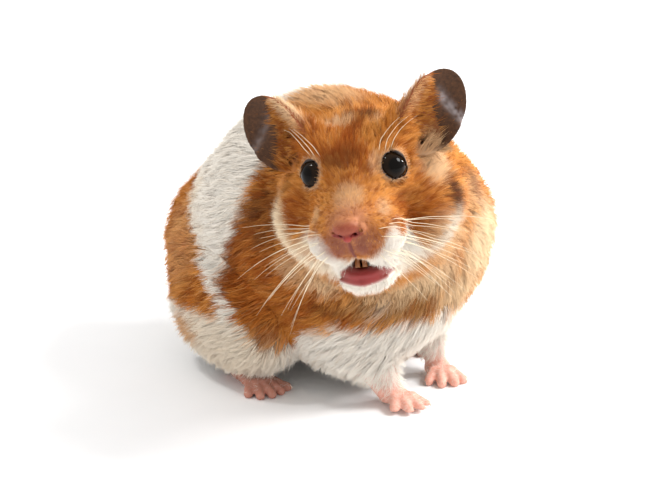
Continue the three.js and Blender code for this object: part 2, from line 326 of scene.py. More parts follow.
def ear_ridge(across, v):
    """1 along the ridge that runs down over the hollow of an ear, towards its outer rim."""
    return np.exp(-((v - 0.43 + 0.32 * across) / 0.11) ** 2) * ease(-0.35, 0.1, across)


def ear_form(q, word):
    u, v, off, rim = ear_place(q, word)
    off = off - 0.7 * ear_ridge(u * SIDES[word], v)
    out = (rim - 1) * 6.6
    wall = np.abs(off) * 0.8 - 0.36
    return np.sqrt(np.maximum(out, 0) ** 2 + np.maximum(wall, 0) ** 2) + np.minimum(np.maximum(out, wall), 0)


def ear_curtain(q, word):
    """The hairy fold that runs from the crown up the inner edge of an ear."""
    s = SIDES[word]
    return limb(in_ear(q, word), (-7.2 * s, -1.6, -9.5), (-4.4 * s, -1.6, 4.4), 2.4, 0.45)


def eye_place(q, side):
    """Head points seen from an eye: across, up and out along the way it looks."""
    e = (q - np.array([side * EYE_AT[0], EYE_AT[1], EYE_AT[2]], q.dtype)) * np.array([side, 1, 1], q.dtype)
    out = EYE_LOOKS
    up = np.array([0, 0, 1.0]) - out * out[2]
    up /= np.linalg.norm(up)
    across = np.cross(up, out)
    return e @ np.stack([across, up, out], 1).astype(q.dtype)


def eye_opening(e):
    """Below 0 between the lids: nearly round, and drawn out to a corner low at the back."""
    hollow = ball(e, (-0.1, 0.2, 2.9), (2.6, 2.7, 3.4))
    return np.minimum(hollow, ball(e, (1.75, -1.55, 2.0), (1.35, 0.85, 2.0)))


def mouth_outline(q):
    """Below 0 within the parted lips, seen from in front: a low arch, with a cleft above."""
    x, z = np.abs(q[:, 0]), q[:, 2]
    roof = -11.7 - 0.5 * x - 0.6 * ease(1.5, 3, x)
    floor = -17.9 + 0.03 * x ** 2
    return cut(np.maximum(z - roof, floor - z) * 0.8, 8.0 - x, 1.0)


def face(f, p, radius):
    """The head's own features cut into, or added to, the skin."""
    q = to_head(p)
    m = np.nonzero(q[:, 1] < -3)[0]
    g, h = f[m], q[m]
    mirror = mirrored(h)
    g = join(g, ball(h, NOSE_AT + (-0.2, 0.25, 0.1), (2.7, 2.3, 1.9)), 0.9)
    g = join(g, ball(mirror, (2.6, -23.6, -4.6), (1.15, 1.3, 1.2)), 0.5)
    g = join(g, ball(h, (0, -25.1, -6.0), (0.85, 0.9, 0.85)), 0.5)
    g = join(g, ball(mirror, (2.7, -20.9, -8.2), (2.7, 2.6, 2.7)), 0.8)
    nostril = join(limb(mirror, (0.75, -26.6, -5.75), (1.7, -25.9, -5.4), 0.34, 0.36),
                   limb(mirror, (1.7, -25.9, -5.4), (3.0, -24.2, -4.5), 0.36, 0.2), 0.2)
    nostril = join(nostril, limb(mirror, (1.3, -25.0, -5.5), (1.6, -22.0, -5.0), 0.45, 0.35), 0.3)
    g = cut(g, nostril, 0.3)
    g = cut(g, limb(mirror, (0, -26.2, -6.8), (0, -22.3, -11.8), 0.5, 0.62), 0.5)
    lips = mouth_outline(h)
    recess = 0.3 + 1.3 * ease(-16.2, -14.4, h[:, 2]) * ease(4.4, 1.8, mirror[:, 0])
    g = cut(g, np.maximum(lips, -g - recess), 0.5)
    g = cut(g, ball(h, (0, -16.0, -13.2), (2.3, 6.5, 1.5)), 0.5)
    g = join(g, limb(mirror, (0, -17.0, -17.7), (4.6, -15.2, -17.1), 0.75, 0.45), 0.8)
    f[m] = g
    for s in SIDES.values():
        e = eye_place(q, s)
        m = np.nonzero(length(e) < radius + 3.5)[0]
        e, g = e[m], f[m]
        g = join(g, length(e) - (radius + 0.24), 1.2)
        g = cut(g, eye_opening(e), 0.2)
        f[m] = np.maximum(g, radius + 0.02 - length(e))
    return f


def skin_form(p, radius=EYE_RADIUS):
    """The whole skin, bare."""
    f = body_form(p) + coat_depth(p)
    for leg in LEGS.values():
        at = np.array(leg["at"]) + (0, 4, 8)
        m = np.nonzero(length(p - at.astype(p.dtype)) < 30)[0]
        g, near = f[m], p[m]
        if "thigh" in leg:
            at, size = leg["thigh"]
            thigh = ball(near, at, size) + 2.6
            g = join(g, np.maximum(thigh, trunk_form(near) + 1.2), 3)
        a, b, first, last = leg["leg"]
        g = join(g, limb(near, a, b, first - 1.2, last - 0.7), 2.5)
        g = np.maximum(g, 1.0 - near[:, 2])
        close = np.nonzero(near[:, 2] < 10)[0]
        g[close] = join(g[close], foot_form(near[close], leg), 1.0)
        f[m] = g
    m = np.nonzero(p[:, 1] > 34)[0]
    f[m] = join(join(f[m], limb(p[m], *TAIL[0]), 1.5), limb(p[m], *TAIL[1]), 0.6)
    f = face(f, p, radius)
    q = to_head(p)
    for word in SIDES:
        at, _ = ear_frame(word)
        m = np.nonzero(length(q - at.astype(q.dtype)) < 13)[0]
        u, v, _, _ = ear_place(q[m], word)
        web = 1.2 + 5.0 * ease(0.1, -0.7, u * SIDES[word]) * ease(0.7, 0.0, v)
        f[m] = join(f[m], ear_form(q[m], word), web)
        f[m] = join(f[m], ear_curtain(q[m], word), 2.2)
    return f


def slope(form, p, step=0.05):
    """The unit normal of a form at points p, and its value there."""
    f = form(p)
    g = np.empty_like(p)
    for axis in range(3):
        moved = p.copy()
        moved[:, axis] += step
        g[:, axis] = form(moved) - f
    return unit(g), f, length(g) / step


# ---------------- a mesh round a form

BLOCK = 4  # cells along a side of the coarse blocks
FAR = 9  # stands for a form's value away from its surface
AT_ONCE = 400000  # points worked out together


def shifted(size, corner):
    """What picks each cell's value at one of its corners from a grid of this size."""
    return tuple(slice(c, n - 1 + c) for n, c in zip(size, corner))


def net(form, low, high, cell):
    """Points and quads of the form's surface: one point in each cell that it crosses, on a fine grid
    that is worked out only near the surface."""
    block = BLOCK
    low = np.asarray(low, np.float32)
    blocks = np.ceil((np.asarray(high) - low) / (cell * block)).astype(int)
    size = blocks * block + 1
    middles = [low[i] + (np.arange(blocks[i]) + 0.5) * cell * block for i in range(3)]
    grid = np.stack(np.meshgrid(*middles, indexing="ij"), -1).reshape(-1, 3).astype(np.float32)
    coarse = form(grid).reshape(blocks)
    near = np.abs(coarse) < cell * block * 1.25
    values = np.empty(size, np.float32)
    wide = np.repeat(np.repeat(np.repeat(coarse, block, 0), block, 1), block, 2)
    values[:-1, :-1, :-1] = np.where(wide > 0, FAR, -FAR)
    values[-1], values[:, -1], values[:, :, -1] = FAR, FAR, FAR
    wanted = np.zeros(size, bool)
    spread = np.repeat(np.repeat(np.repeat(near, block, 0), block, 1), block, 2)
    for corner in CORNERS:
        wanted[shifted(size, corner)] |= spread
    index = np.argwhere(wanted)
    for start in range(0, len(index), AT_ONCE):
        part = index[start:start + AT_ONCE]
        values[tuple(part.T)] = form((low + part * cell).astype(np.float32))
    inside = values < 0
    count = np.zeros(size - 1, np.uint8)
    for corner in CORNERS:
        count += inside[shifted(size, corner)]
    cells = np.argwhere((count > 0) & (count < 8))
    number = np.full(size - 1, -1, np.int32)
    number[tuple(cells.T)] = np.arange(len(cells))
    at = {c: values[tuple((cells + c).T)] for c in CORNERS}
    total, hits = np.zeros((len(cells), 3)), np.zeros(len(cells))
    for a in CORNERS:
        for axis in range(3):
            if a[axis] == 0:
                b = tuple(1 if n == axis else a[n] for n in range(3))
                crosses = (at[a] < 0) != (at[b] < 0)
                t = np.where(crosses, at[a] / np.where(crosses, at[a] - at[b], 1), 0)
                spot = np.tile(np.array(a, float), (len(cells), 1))
                spot[:, axis] += t
                total += spot * crosses[:, None]
                hits += crosses
    points = low + (cells + total / hits[:, None]) * cell
    quads = []
    for axis in range(3):
        u, v = (axis + 1) % 3, (axis + 2) % 3
        step = np.eye(3, dtype=int)
        here = [slice(1, n - 1) for n in size]
        here[axis] = slice(0, size[axis] - 1)
        there = list(here)
        there[axis] = slice(1, size[axis])
        a, b = inside[tuple(here)], inside[tuple(there)]
        for first, flip in ((a & ~b, False), (~a & b, True)):
            edge = np.argwhere(first) + [s.start for s in here]
            ring = [edge - step[u] - step[v], edge - step[v], edge, edge - step[u]]
            quad = np.stack([number[tuple(r.T)] for r in ring], 1)
            quads.append(quad[:, ::-1] if flip else quad)
    quads = np.concatenate(quads)
    return points, quads[(quads >= 0).all(1)]


def settle(form, points, times):
    """Moves points along the form's slope until they lie on it."""
    points = points.astype(np.float32)
    for _ in range(times):
        normal, f, steep = slope(form, points)
        points -= normal * np.clip(f / np.maximum(steep, 0.4), -0.3, 0.3)[:, None]
    return points


def lattice(p, scale, seed):
    """Smooth noise from -1 to 1, with bumps about scale millimetres across."""
    table = np.random.default_rng(seed).uniform(-1, 1, (32, 32, 32))
    q = np.asarray(p, float) / scale + 512
    base = np.floor(q).astype(int)
    t = q - base
    t = t * t * (3 - 2 * t)
    total = 0
    for corner in CORNERS:
        x, y, z = (t[:, n] if c else 1 - t[:, n] for n, c in enumerate(corner))
        total = total + x * y * z * table[tuple(((base + corner) % 32).T)]
    return total


# ---------------- markings, the same on the skin and on the coat

MANTLE_LOW = ([-40, -36, -26, -21, -15.5, -13, -11.4, -8, -5.9, -1.9, 1.6, 3.2, 5.8, 9],
              [24.5, 23.5, 21.4, 19.7, 18.1, 16.5, 13.8, 12.2, 13.3, 19.4, 23.1, 25.1, 29, 36])
MANTLE_BACK = ([10, 14.3, 18.6, 23.2, 27.1, 32.2, 36.9, 41.5, 45.5, 49.5, 54, 58, 62, 66, 70],
               [6, 5, 5, 4.5, 4, 3, 1, -1, -1.5, -2.3, -5, -2, 3, 10, 14])
RUMP_FRONT = ([12, 17.9, 20.5, 24.3, 26.8, 32.4, 34.9, 38.4, 41.7, 44, 46, 60],
              [1, 2.7, 3.5, 5.5, 9.5, 14.5, 18.5, 22, 24.5, 29, 36, 40])
MUZZLE_TOP = ([-24, -20.4, -18.8, -17.3, -16.7, -15.9, -14.9, -13.1, -11.5, -8.8, -6.8, -5.2, -4.2,
               -2.9, -1.3, 0.8, 3.4, 5.1, 6.0, 6.9, 8.3, 9.1, 9.9, 10.6, 11.8, 13.8, 16.3, 17.9,
               18.8, 21],
              [-16, -12, -2.4, -3.6, -6.6, -9.1, -10.8, -9.8, -8.0, -6.2, -5.8, -7.0, -8.7, -10.5,
               -11.7, -11.8, -11.3, -10.2, -8.8, -7.0, -5.6, -7.4, -10.4, -12.8, -13.9, -12.9,
               -10.1, -7.3, -4.6, -3])
EAR_CREAM = {"right": 0.75, "left": 0.4}  # how pale the inner edge of each ear is
# How strong the painted highlight on each ear's ridge is.
EAR_PAINTED_SHEEN = {"right": 0.25, "left": 0.85}
# Up the ear, and how far in hair grows there.
EAR_HAIR = ([-0.7, -0.35, 0.1, 0.4, 0.65], [0.65, 0.5, -0.15, -0.25, -0.62])
BARE = ("nose", "low_nose", "slit", "nostril", "bald", "mouth", "lip", "painted_mouth_shade", "lid", "rim", "ear",
        "ear_fur", "sheen", "paw", "hind", "tail")


def blot(p, at, size, soft=0.35):
    """1 within an ellipsoid, 0 outside, with an edge as soft as a share of its size."""
    return ease(1 + soft, 1 - soft, length((p - np.array(at)) / np.array(size)))


# Spots of each marking: middle x, y, z, half sizes x, y, z, and strength. The first are in the head's frame,
# the second in the trunk's.
HEAD_SPOTS = {
    "cream": [
        (17, -5, -12, 6, 8, 6, 0.4), (-18.6, -6, -8, 3.2, 6, 8, 0.8), (-17.5, -5, -10, 3, 9, 7, 0.6),
        (-15, -4, -16, 8, 8, 4.5, 0.6), (11, -4, -18, 9, 9, 4, 0.3), (17, 8, -18, 8, 12, 10, 0.55),
        (16, -3, 4, 4, 7, 5.5, 0.6), (0.2, -19.6, 1.0, 3.0, 4.4, 2.6, 0.38),
        (5.4, -13.8, 6.2, 1.4, 3.0, 2.4, 0.38), (-4.6, -1.5, 13.6, 4.5, 3, 2.6, 0.5),
        # The second spot below, low on the right of the muzzle, is painted shade on white fur.
        (4.5, -2, 13.6, 2.5, 3.4, 2.4, 0.35), (-11.5, -10, -13, 5, 5, 4, 0.8),
        (7.5, -19, -1.4, 2, 3, 2, 0.45), (-8, -17.6, -2.4, 2, 3, 2, 0.35),
    ],
    "deep": [
        (13, -10, -5, 6.5, 6, 5, 0.6), (-13.5, -10, -3, 4.4, 5, 4.2, 0.85),
        (10, -11.5, -2.5, 3, 3, 2, 0.7), (-1.2, -13, 8.4, 4.6, 4.4, 3.4, 1.0),
        (-0.4, -8, 11.5, 2.6, 6, 3.4, 0.9), (-5.6, -5.5, 12, 3.6, 5, 3, 0.55),
        (-10.6, -5.5, 10, 3, 4, 3.6, 0.9), (3.2, -15, 5.4, 1.6, 2.5, 2, 0.8),
        (-7, -11, 8, 3, 3.4, 3, 0.75), (9, -8.5, 9.3, 3, 3.5, 2.6, 0.3), (-14, 3, 12, 3, 5, 6, 0.8),
        (12.5, 3, 13, 3, 4, 4, 0.5), (0, -16.5, 4, 5, 3, 2.5, 0.5), (1.5, 1, 14.8, 7, 4.6, 3, 0.6),
        (14.7, -7, 0.8, 4, 4, 3, 0.35), (9.4, -17.7, -5, 2.2, 3, 2.6, 0.6),
    ],
    "dark": [
        (19.8, -2.6, -4.5, 3.2, 4.6, 6.4, 1.0), (-20.5, -1, -4, 3.0, 4.2, 8, 0.85),
        (1.6, 1, 14.8, 5.8, 3.4, 2.8, 0.9), (0.8, -4.5, 13, 1.8, 5, 2.4, 0.6),
        (-0.8, -13.2, 8, 3.6, 3.6, 3, 0.6), (-3.8, -13.8, 7.4, 2.4, 2.6, 2, 0.55),
        (10, -11.7, -2, 3.4, 2.4, 1.6, 0.4), (-11.4, -11.5, 0.5, 2, 2.6, 2.4, 0.35),
        (3.4, -14.6, 5.2, 1.2, 2, 1.6, 0.4),
    ],
    "blush": [
        (0, -23.2, -4, 4.2, 4.4, 4.4, 0.85), (0, -20.5, -0.8, 2.4, 3.4, 2.0, 0.35),
        # This blush, low on the right of the muzzle, is painted shade on white fur.
        (-11.5, -10, -13.5, 4, 4, 3, 0.45),
    ],
}
TRUNK_SPOTS = {
    "cream": [
        (16, -33, 36, 12, 10, 9, 0.9), (13, -33, 47, 9, 8, 5, 0.4), (8, -36, 27, 10, 7, 5, 0.75),
        (-3, 0, 66, 9, 10, 5, 0.45), (-26, -21, 34.5, 7, 7, 4, 0.45),
        (-26, -26, 32, 4.5, 4.5, 3.2, 0.7), (-11, -39, 32, 6.5, 6, 3.6, 0.7),
        (-3, -39, 33, 8, 6, 4.5, 0.7), (-16, -35, 29.5, 7, 5, 3.4, 0.45),
        # The first spot below, low on the right flank, is partly the belly's own cream and partly painted
        # shade.
        (-30, 4, 11, 10, 16, 7, 0.42), (-23, 23, 43, 3, 5, 5, 0.4), (-27, 22, 32, 8, 10, 11, 0.2),
    ],
    "tan": [
        (-14, -33, 28.5, 9, 9, 5, 0.85), (-6, -37, 28, 5, 5, 5, 0.9), (2, -37, 27, 7, 5, 5, 0.45),
        (0, 8, 64, 14, 30, 8, 0.25),
    ],
    "deep": [
        (-27, -12, 25, 7, 14, 9, 0.6), (-29, -4, 33, 7, 11, 12, 0.7), (-23, -29, 24, 7, 7, 4, 0.75),
        (-26, -16, 22.5, 6, 7, 5, 0.8), (13, -33, 48, 4, 5, 6, 0.5),
    ],
    "dark": [
        (-23.4, -24.5, 26.4, 4.6, 5.6, 2.0, 1.0), (-16, -33, 27.6, 5, 4, 1.2, 0.6),
        (-7.4, -37.5, 27, 3.2, 3, 1.6, 0.2), (12, -31, 50, 3.4, 4.4, 6, 0.6),
        # These last three spots are painted shade: a darker strip down the right side of the mantle, below the
        # head.
        (-28.8, -9.5, 45.5, 5, 6, 8.5, 0.9), (-29.8, -3, 43, 4, 2.6, 9, 0.45),
        (-30, 0.4, 33, 4, 2.6, 7, 0.35),
    ],
}


def spots(p, rows):
    """The strongest of the spots at each point, from 0 to 1."""
    total = np.zeros(len(p))
    for row in rows:
        total = np.maximum(total, row[6] * blot(p, row[:3], row[3:6]))
    return total


def orange_part(p, q, y, z, rough):
    """How orange, and not white, the coat is, and how far the mantle reaches."""
    mantle = ease(-1.2, 1.2, z - np.interp(y, *MANTLE_LOW)) * ease(-1.4, 1.4, np.interp(z, *MANTLE_BACK) - y)
    rump = ease(-1.2, 1.2, y - np.interp(z, *RUMP_FRONT)) * ease(-1.2, 1.2, z - 17.5)
    patch = np.maximum(blot(p, (-30, 16.5, 12), (4, 5.5, 3)), blot(p, (31, 19, 12), (4, 4.5, 3)))
    gap = blot(p, (-14.8, -35.5, 26.2), (1.3, 6, 3.0), 0.6)
    tuft = blot(p, (-9.5, 32.5, 49.5), (3, 3, 2.5), 0.5)
    body_orange = np.maximum.reduce([mantle * (1 - 0.55 * gap), rump, 0.85 * patch, 0.7 * tuft])
    x = q[:, 0] + 0.6 * rough
    off = q[:, 2] + 0.7 * rough - np.interp(x, *MUZZLE_TOP)
    wide = 1.1 + 0.05 * np.abs(x)
    face_orange = ease(-wide, wide, off)
    throat = ease(-21.5, -19.5, q[:, 2]) * ease(2, -5, q[:, 1])
    head_part = ease(4, -3, head_lead(p)) * np.maximum(throat, ease(-6, -1, q[:, 2]))
    return body_orange * (1 - head_part) + face_orange * head_part, mantle


def markings(p):
    """How white, cream, tan, deep and dark the coat is at points p, each from 0 to 1."""
    p = np.asarray(p, float)
    rough = 0.9 * lattice(p, 2.2, 1) + 0.7 * lattice(p, 5.0, 2)
    q = to_head(p)
    y, z = p[:, 1] + rough, p[:, 2] + rough
    orange, mantle = orange_part(p, q, y, z, rough)
    cream, deep, dark = (np.maximum(spots(q, HEAD_SPOTS[name]), spots(p, TRUNK_SPOTS[name]))
                         for name in ("cream", "deep", "dark"))
    edge = ease(6, 0, np.interp(z, *MANTLE_BACK) - y) * ease(20, 27, p[:, 2])
    edge = edge * ease(62, 56, p[:, 2]) * mantle
    dark = np.maximum(dark, 0.8 * edge * (0.7 + 0.5 * lattice(p, 2.5, 3)))
    uneven = 0.85 + 0.45 * lattice(p, 1.6, 7) + 0.25 * lattice(p, 4, 8)
    deep, dark = np.clip(deep * uneven, 0, 1), np.clip(dark * (1.7 - uneven), 0, 1)
    mauve = blot(mirrored(q), (2.6, -21.8, -8.1), (3.6, 4.6, 3.0), 0.8) * ease(-15.5, -19, q[:, 1])
    mauve = mauve * (0.85 + 0.3 * lattice(p, 1.5, 4)).clip(0, 1)
    for word, side in SIDES.items():
        u, v, off, rim = ear_place(q, word)
        edge = ease(4.2, 2.4, np.abs(off)) * ease(-0.5, -0.8, u * side)
        edge = edge * ease(-0.5, 0.2, v) * ease(1.75, 1.4, rim)
        cream = np.maximum(cream, EAR_CREAM[word] * edge)
        e = eye_place(q, side)
        gap = np.where(length(e) < 7, eye_opening(e), 9)
        cream = np.maximum(cream, 0.5 * ease(1.3, 0.5, gap) * ease(0.1, 0.4, gap))
        dark = np.maximum(
            dark, 0.35 * ease(2.4, 1.6, np.abs(off)) * ease(0.9, 0.7, rim) * ease(-0.5, -0.2, v))
    tan = spots(p, TRUNK_SPOTS["tan"])
    blush = spots(q, HEAD_SPOTS["blush"])
    return {"white": 1 - orange, "cream": cream, "tan": tan * orange, "deep": deep * orange,
            "blush": blush, "mauve": mauve, "dark": np.clip(dark, 0, 1)}


def bareness(p, radius):
    """How bare the skin is of hair, and of what kind, among them masks of painted shade and of a painted
    highlight: each from 0 to 1.
    """
    p = np.asarray(p, float)
    q = to_head(p)
    mirror = mirrored(q)
    x, y, z = mirror.T
    zero = np.zeros(len(p))
    bare = dict.fromkeys(BARE, zero)
    bare["nose"] = blot(q, (-0.1, -25.6, -4.7), (3.3, 2.4, 2.2), 0.35)
    bare["low_nose"] = bare["nose"] * ease(-4.9, -6.0, z)
    bare["slit"] = ease(0.5, 0.2, x) * ease(-12, -11.3, z) * ease(-6.6, -7.2, z) * ease(-18, -19, y)
    bare["nostril"] = spots(mirror, [(1.7, -24.9, -5.5, 1.5, 2.0, 0.6, 1),
                                     (1.4, -23.6, -5.4, 0.9, 2.4, 0.7, 1)])
    bald = 0.55 * blot(mirror, (2.4, -22.2, -8.0), (3.0, 3.6, 2.6), 0.8) * ease(-17, -19, y)
    bare["bald"] = np.maximum(bald, blot(mirror, (0, -22.5, -9.5), (0.7, 4, 3.5), 0.4))
    bare["mouth"] = ease(0.5, -0.4, mouth_outline(q)) * ease(-9, -11, y)
    bare["lip"] = blot(q, (0.3, -17.5, -16.4), (4.6, 3.4, 1.7), 0.6)
    # Painted shade: the mouth's red-brown darkened deep inside.
    bare["painted_mouth_shade"] = blot(q, (0, -15.5, -13.2), (2.5, 3.6, 1.8), 0.35) * bare["mouth"]
    for s in SIDES.values():
        e = eye_place(q, s)
        gap = np.where(length(e) < radius + 2.5, eye_opening(e), 9)
        bare["lid"] = np.maximum(bare["lid"], ease(0.42, 0.22, gap))
        bare["rim"] = np.maximum(bare["rim"], ease(2.4, 0.5, gap))
    ear, inner, sheen = zero, zero, zero
    for word, s in SIDES.items():
        u, v, off, rim = ear_place(q, word)
        hairy = np.interp(v, *EAR_HAIR)
        shell = ease(2.2, 1.5, np.abs(off)) * ease(1.3, 1.2, rim) * ease(-0.8, -0.5, v)
        ear = np.maximum(ear, shell * ease(-0.8, -0.5, u * s + 0.35 * ease(0.5, 1, v)))
        inner = np.maximum(inner, shell * ease(0.1, -0.1, u * s - hairy)
                           * np.where(u * s < -0.3, 1, ease(1.0, 0.85, rim)))
        # A painted highlight: pale streaks along each ear's ridge, where light catches it.
        streaks = (0.7 + 0.7 * lattice(p, 0.7, 6)).clip(0, 1)
        sheen = np.maximum(sheen, shell * ear_ridge(u * s, v) ** 1.2 * streaks * EAR_PAINTED_SHEEN[word])
    paw = ease(0, -2.5, p[:, 2] - np.where(p[:, 1] < -14, 12, 7)) * near_feet(p)
    paw = paw * (1 - 0.45 * ease(3.5, 6.5, p[:, 2]))
    bare.update(ear=ear * (1 - inner), ear_fur=inner, sheen=sheen, paw=paw,
                # hind: painted shade, a darker brown over the hind feet.
                hind=0.55 * paw * ease(-14, -10, p[:, 1]), tail=ease(43, 46, p[:, 1]))
    return bare


def near_feet(p):
    """1 on the feet and the ends of the legs."""
    best = np.full(len(p), 99.0)
    for leg in LEGS.values():
        m = np.nonzero(length(p - (np.array(leg["at"]) + (0, 1, 3))) < 18)[0]
        a, b, first, last = leg["leg"]
        best[m] = np.minimum(best[m], np.minimum(foot_form(p[m], leg), limb(p[m], a, b, first, last)))
    return ease(1.6, 0.6, best)


# ---------------- meshes

def add_object(name, data):
    thing = bpy.data.objects.new(name, data)
    bpy.context.scene.collection.objects.link(thing)
    return thing


def new_mesh(name, points, faces):
    """A mesh object from points of the trunk's frame and faces that all have as many corners."""
    mesh = bpy.data.meshes.new(name)
    count, corners = faces.shape
    mesh.vertices.add(len(points))
    mesh.vertices.foreach_set("co", to_row(points).astype(np.float32).ravel())
    mesh.loops.add(faces.size)
    mesh.loops.foreach_set("vertex_index", np.asarray(faces, np.int32).ravel())
    mesh.polygons.add(count)
    mesh.polygons.foreach_set("loop_start", np.arange(count, dtype=np.int32) * corners)
    mesh.polygons.foreach_set("use_smooth", np.ones(count, bool))
    mesh.update(calc_edges=True)
    mesh.validate()
    return add_object(name, mesh)


def write(mesh, **values):
    """Numbers kept at a mesh's points, for its material to read."""
    for name, numbers in values.items():
        layer = mesh.attributes.new(name, "FLOAT", "POINT")
        layer.data.foreach_set("value", np.asarray(numbers, np.float32))


def rows(items, name, kind=np.float32):
    """A property of three numbers of all of a mesh's items, a row for each."""
    found = np.empty(len(items) * 3, kind)
    items.foreach_get(name, found)
    return found.reshape(-1, 3)


def points_of(mesh):
    """A mesh's points in the trunk's frame, in millimetres."""
    return rows(mesh.vertices, "co").astype(float) / MM - SHIFT


def triangles_of(mesh):
    mesh.calc_loop_triangles()
    return rows(mesh.loop_triangles, "vertices", np.int32)


def volume(points, triangles):
    """Above 0 where the triangles of a closed surface face outwards, and below where they face inwards."""
    a, b, c = (points[triangles[:, i]] for i in range(3))
    return np.einsum("ij,ij->i", a, np.cross(b, c)).sum()


def finish_piece(piece, material=None, replaced=()):
    """Gives a finished piece its material, hangs it on the root, and hides the nodes of the solids that it
    stands for.
    """
    if material is not None:
        piece.data.materials.clear()
        piece.data.materials.append(material)
    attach(piece, "root")
    if replaced:
        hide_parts(*replaced)


def plain_mesh(piece):
    """Applies a piece's modifiers: its mesh becomes what they make."""
    bpy.context.view_layer.update()
    mesh = bpy.data.meshes.new_from_object(piece.evaluated_get(bpy.context.evaluated_depsgraph_get()))
    old = piece.data
    piece.modifiers.clear()
    piece.data = mesh
    bpy.data.meshes.remove(old)


# ---------------- materials

class Amount:
    """A socket that carries a number: each operator on it adds its Math node."""

    def __init__(self, board, socket):
        self.board, self.socket = board, socket

    def _math(self, operation, *values, **settings):
        settings["operation"] = operation
        return self.board.add("ShaderNodeMath", settings, dict(enumerate(values)))

    def __add__(self, other):
        return self._math("ADD", self, other)

    __radd__ = __add__

    def __mul__(self, other):
        return self._math("MULTIPLY", self, other)

    __rmul__ = __mul__

    def __sub__(self, other):
        return self._math("SUBTRACT", self, other)

    def __rsub__(self, other):
        return self._math("SUBTRACT", other, self)

    def clamp(self):
        return self._math("ADD", self, 0.0, use_clamp=True)


class Board:
    """A material's nodes."""

    def __init__(self, name):
        self.material = bpy.data.materials.new(name)
        self.material.use_nodes = True
        self.tree = self.material.node_tree
        self.tree.nodes.clear()
        self.place = self.add("ShaderNodeTexCoord", out="Object")

    def add(self, kind, settings=None, sockets=None, out=0):
        """A node with its settings, then its sockets' values or links. Gives the output called out."""
        node = self.tree.nodes.new(kind)
        for name, value in (settings or {}).items():
            setattr(node, name, value)
        for name, value in (sockets or {}).items():
            socket = node.inputs[name]
            if isinstance(value, Amount):
                self.tree.links.new(value.socket, socket)
            else:
                socket.default_value = value
        return Amount(self, node.outputs[out])

    def mix(self, share, first, second):
        """The colour first where share is 0, and second where it is 1."""
        return self.add("ShaderNodeMix", {"data_type": "RGBA"}, {0: share, 6: first, 7: second}, out=2)

    def read(self, name):
        return self.add("ShaderNodeAttribute", {"attribute_name": name}, out="Fac")

    def noise(self, scale, detail=2.0, roughness=0.5):
        return self.add("ShaderNodeTexNoise", None,
                        {"Vector": self.place, "Scale": scale, "Detail": detail, "Roughness": roughness})

    def finish(self, colour, roughness, height=None, depth=0.0001, **constants):
        """The surface: what changes over it, then what is the same all over."""
        sockets = {"Base Color": colour, "Roughness": roughness}
        if height is not None:
            bumps = {"Height": height, "Distance": depth}
            sockets["Normal"] = self.add("ShaderNodeBump", None, bumps, out="Normal")
        sockets.update({name.replace("_", " "): value for name, value in constants.items()})
        surface = self.add("ShaderNodeBsdfPrincipled", None, sockets)
        output = self.tree.nodes.new("ShaderNodeOutputMaterial")
        self.tree.links.new(surface.socket, output.inputs["Surface"])
        return self.material


def light(colour):
    """A colour as screens show it, as the light that it stands for."""
    return tuple(((c + 0.055) / 1.055) ** 2.4 if c > 0.04045 else c / 12.92 for c in colour) + (1.0,)


def tinted(r, g, b):
    """The same, from a colour of 0 to 255."""
    return light((r / 255, g / 255, b / 255))


COAT_MARKS = ("deep", "tan", "white", "cream", "blush", "mauve", "dark")


def coat_colour(board, colours):
    """The coat's colour from its markings, which the skin under it shares."""
    patchy = board.noise(160, 3, 0.6)
    fine = board.noise(900, 2, 0.6)
    colour = board.mix((patchy * 2.4 - 0.7).clamp(), light(colours.orange), light(colours.gold))
    colour = board.mix((fine * 1.6 - 0.5).clamp() * 0.5, colour, light(colours.rust))
    for name in COAT_MARKS:
        colour = board.mix(board.read(name), colour, light(getattr(colours, name)))
    return colour


def coat_material(colours):
    board = Board("coat_hair")
    chance, along = board.read("chance"), board.read("along")
    colour = coat_colour(board, colours)
    pale = (1 - board.read("white")) * (1 - board.read("cream"))
    calm = (1 - board.read("deep") * 0.75) * (1 - board.read("dark"))
    lock = board.read("lock")
    darker = (lock * 3.0 - 1.6).clamp() * pale
    colour = board.mix(darker * 0.8, colour, light(colours.rust))
    colour = board.mix((1 - along) * 0.55 * pale, colour, light(colours.rust))
    # White hairs turn tan towards the root: painted shade between the hairs.
    colour = board.mix((1 - along) * 0.25 * (1 - pale), colour, light(colours.tan))
    paler = ((1 - lock) * 3.0 - 1.6).clamp() * along * pale * calm
    colour = board.mix(paler * 0.7, colour, light(colours.gold))
    lighter = (chance * -5.0 + 1.0).clamp() * (0.5 - 0.2 * pale) * along * calm
    colour = board.mix(lighter, colour, light(colours.cream))
    grey = (chance * 8.0 - 7.3).clamp() * pale * along
    colour = board.mix(grey * 0.4, colour, light(colours.dark))
    return board.finish(colour, 0.6, Specular_IOR_Level=0.05)


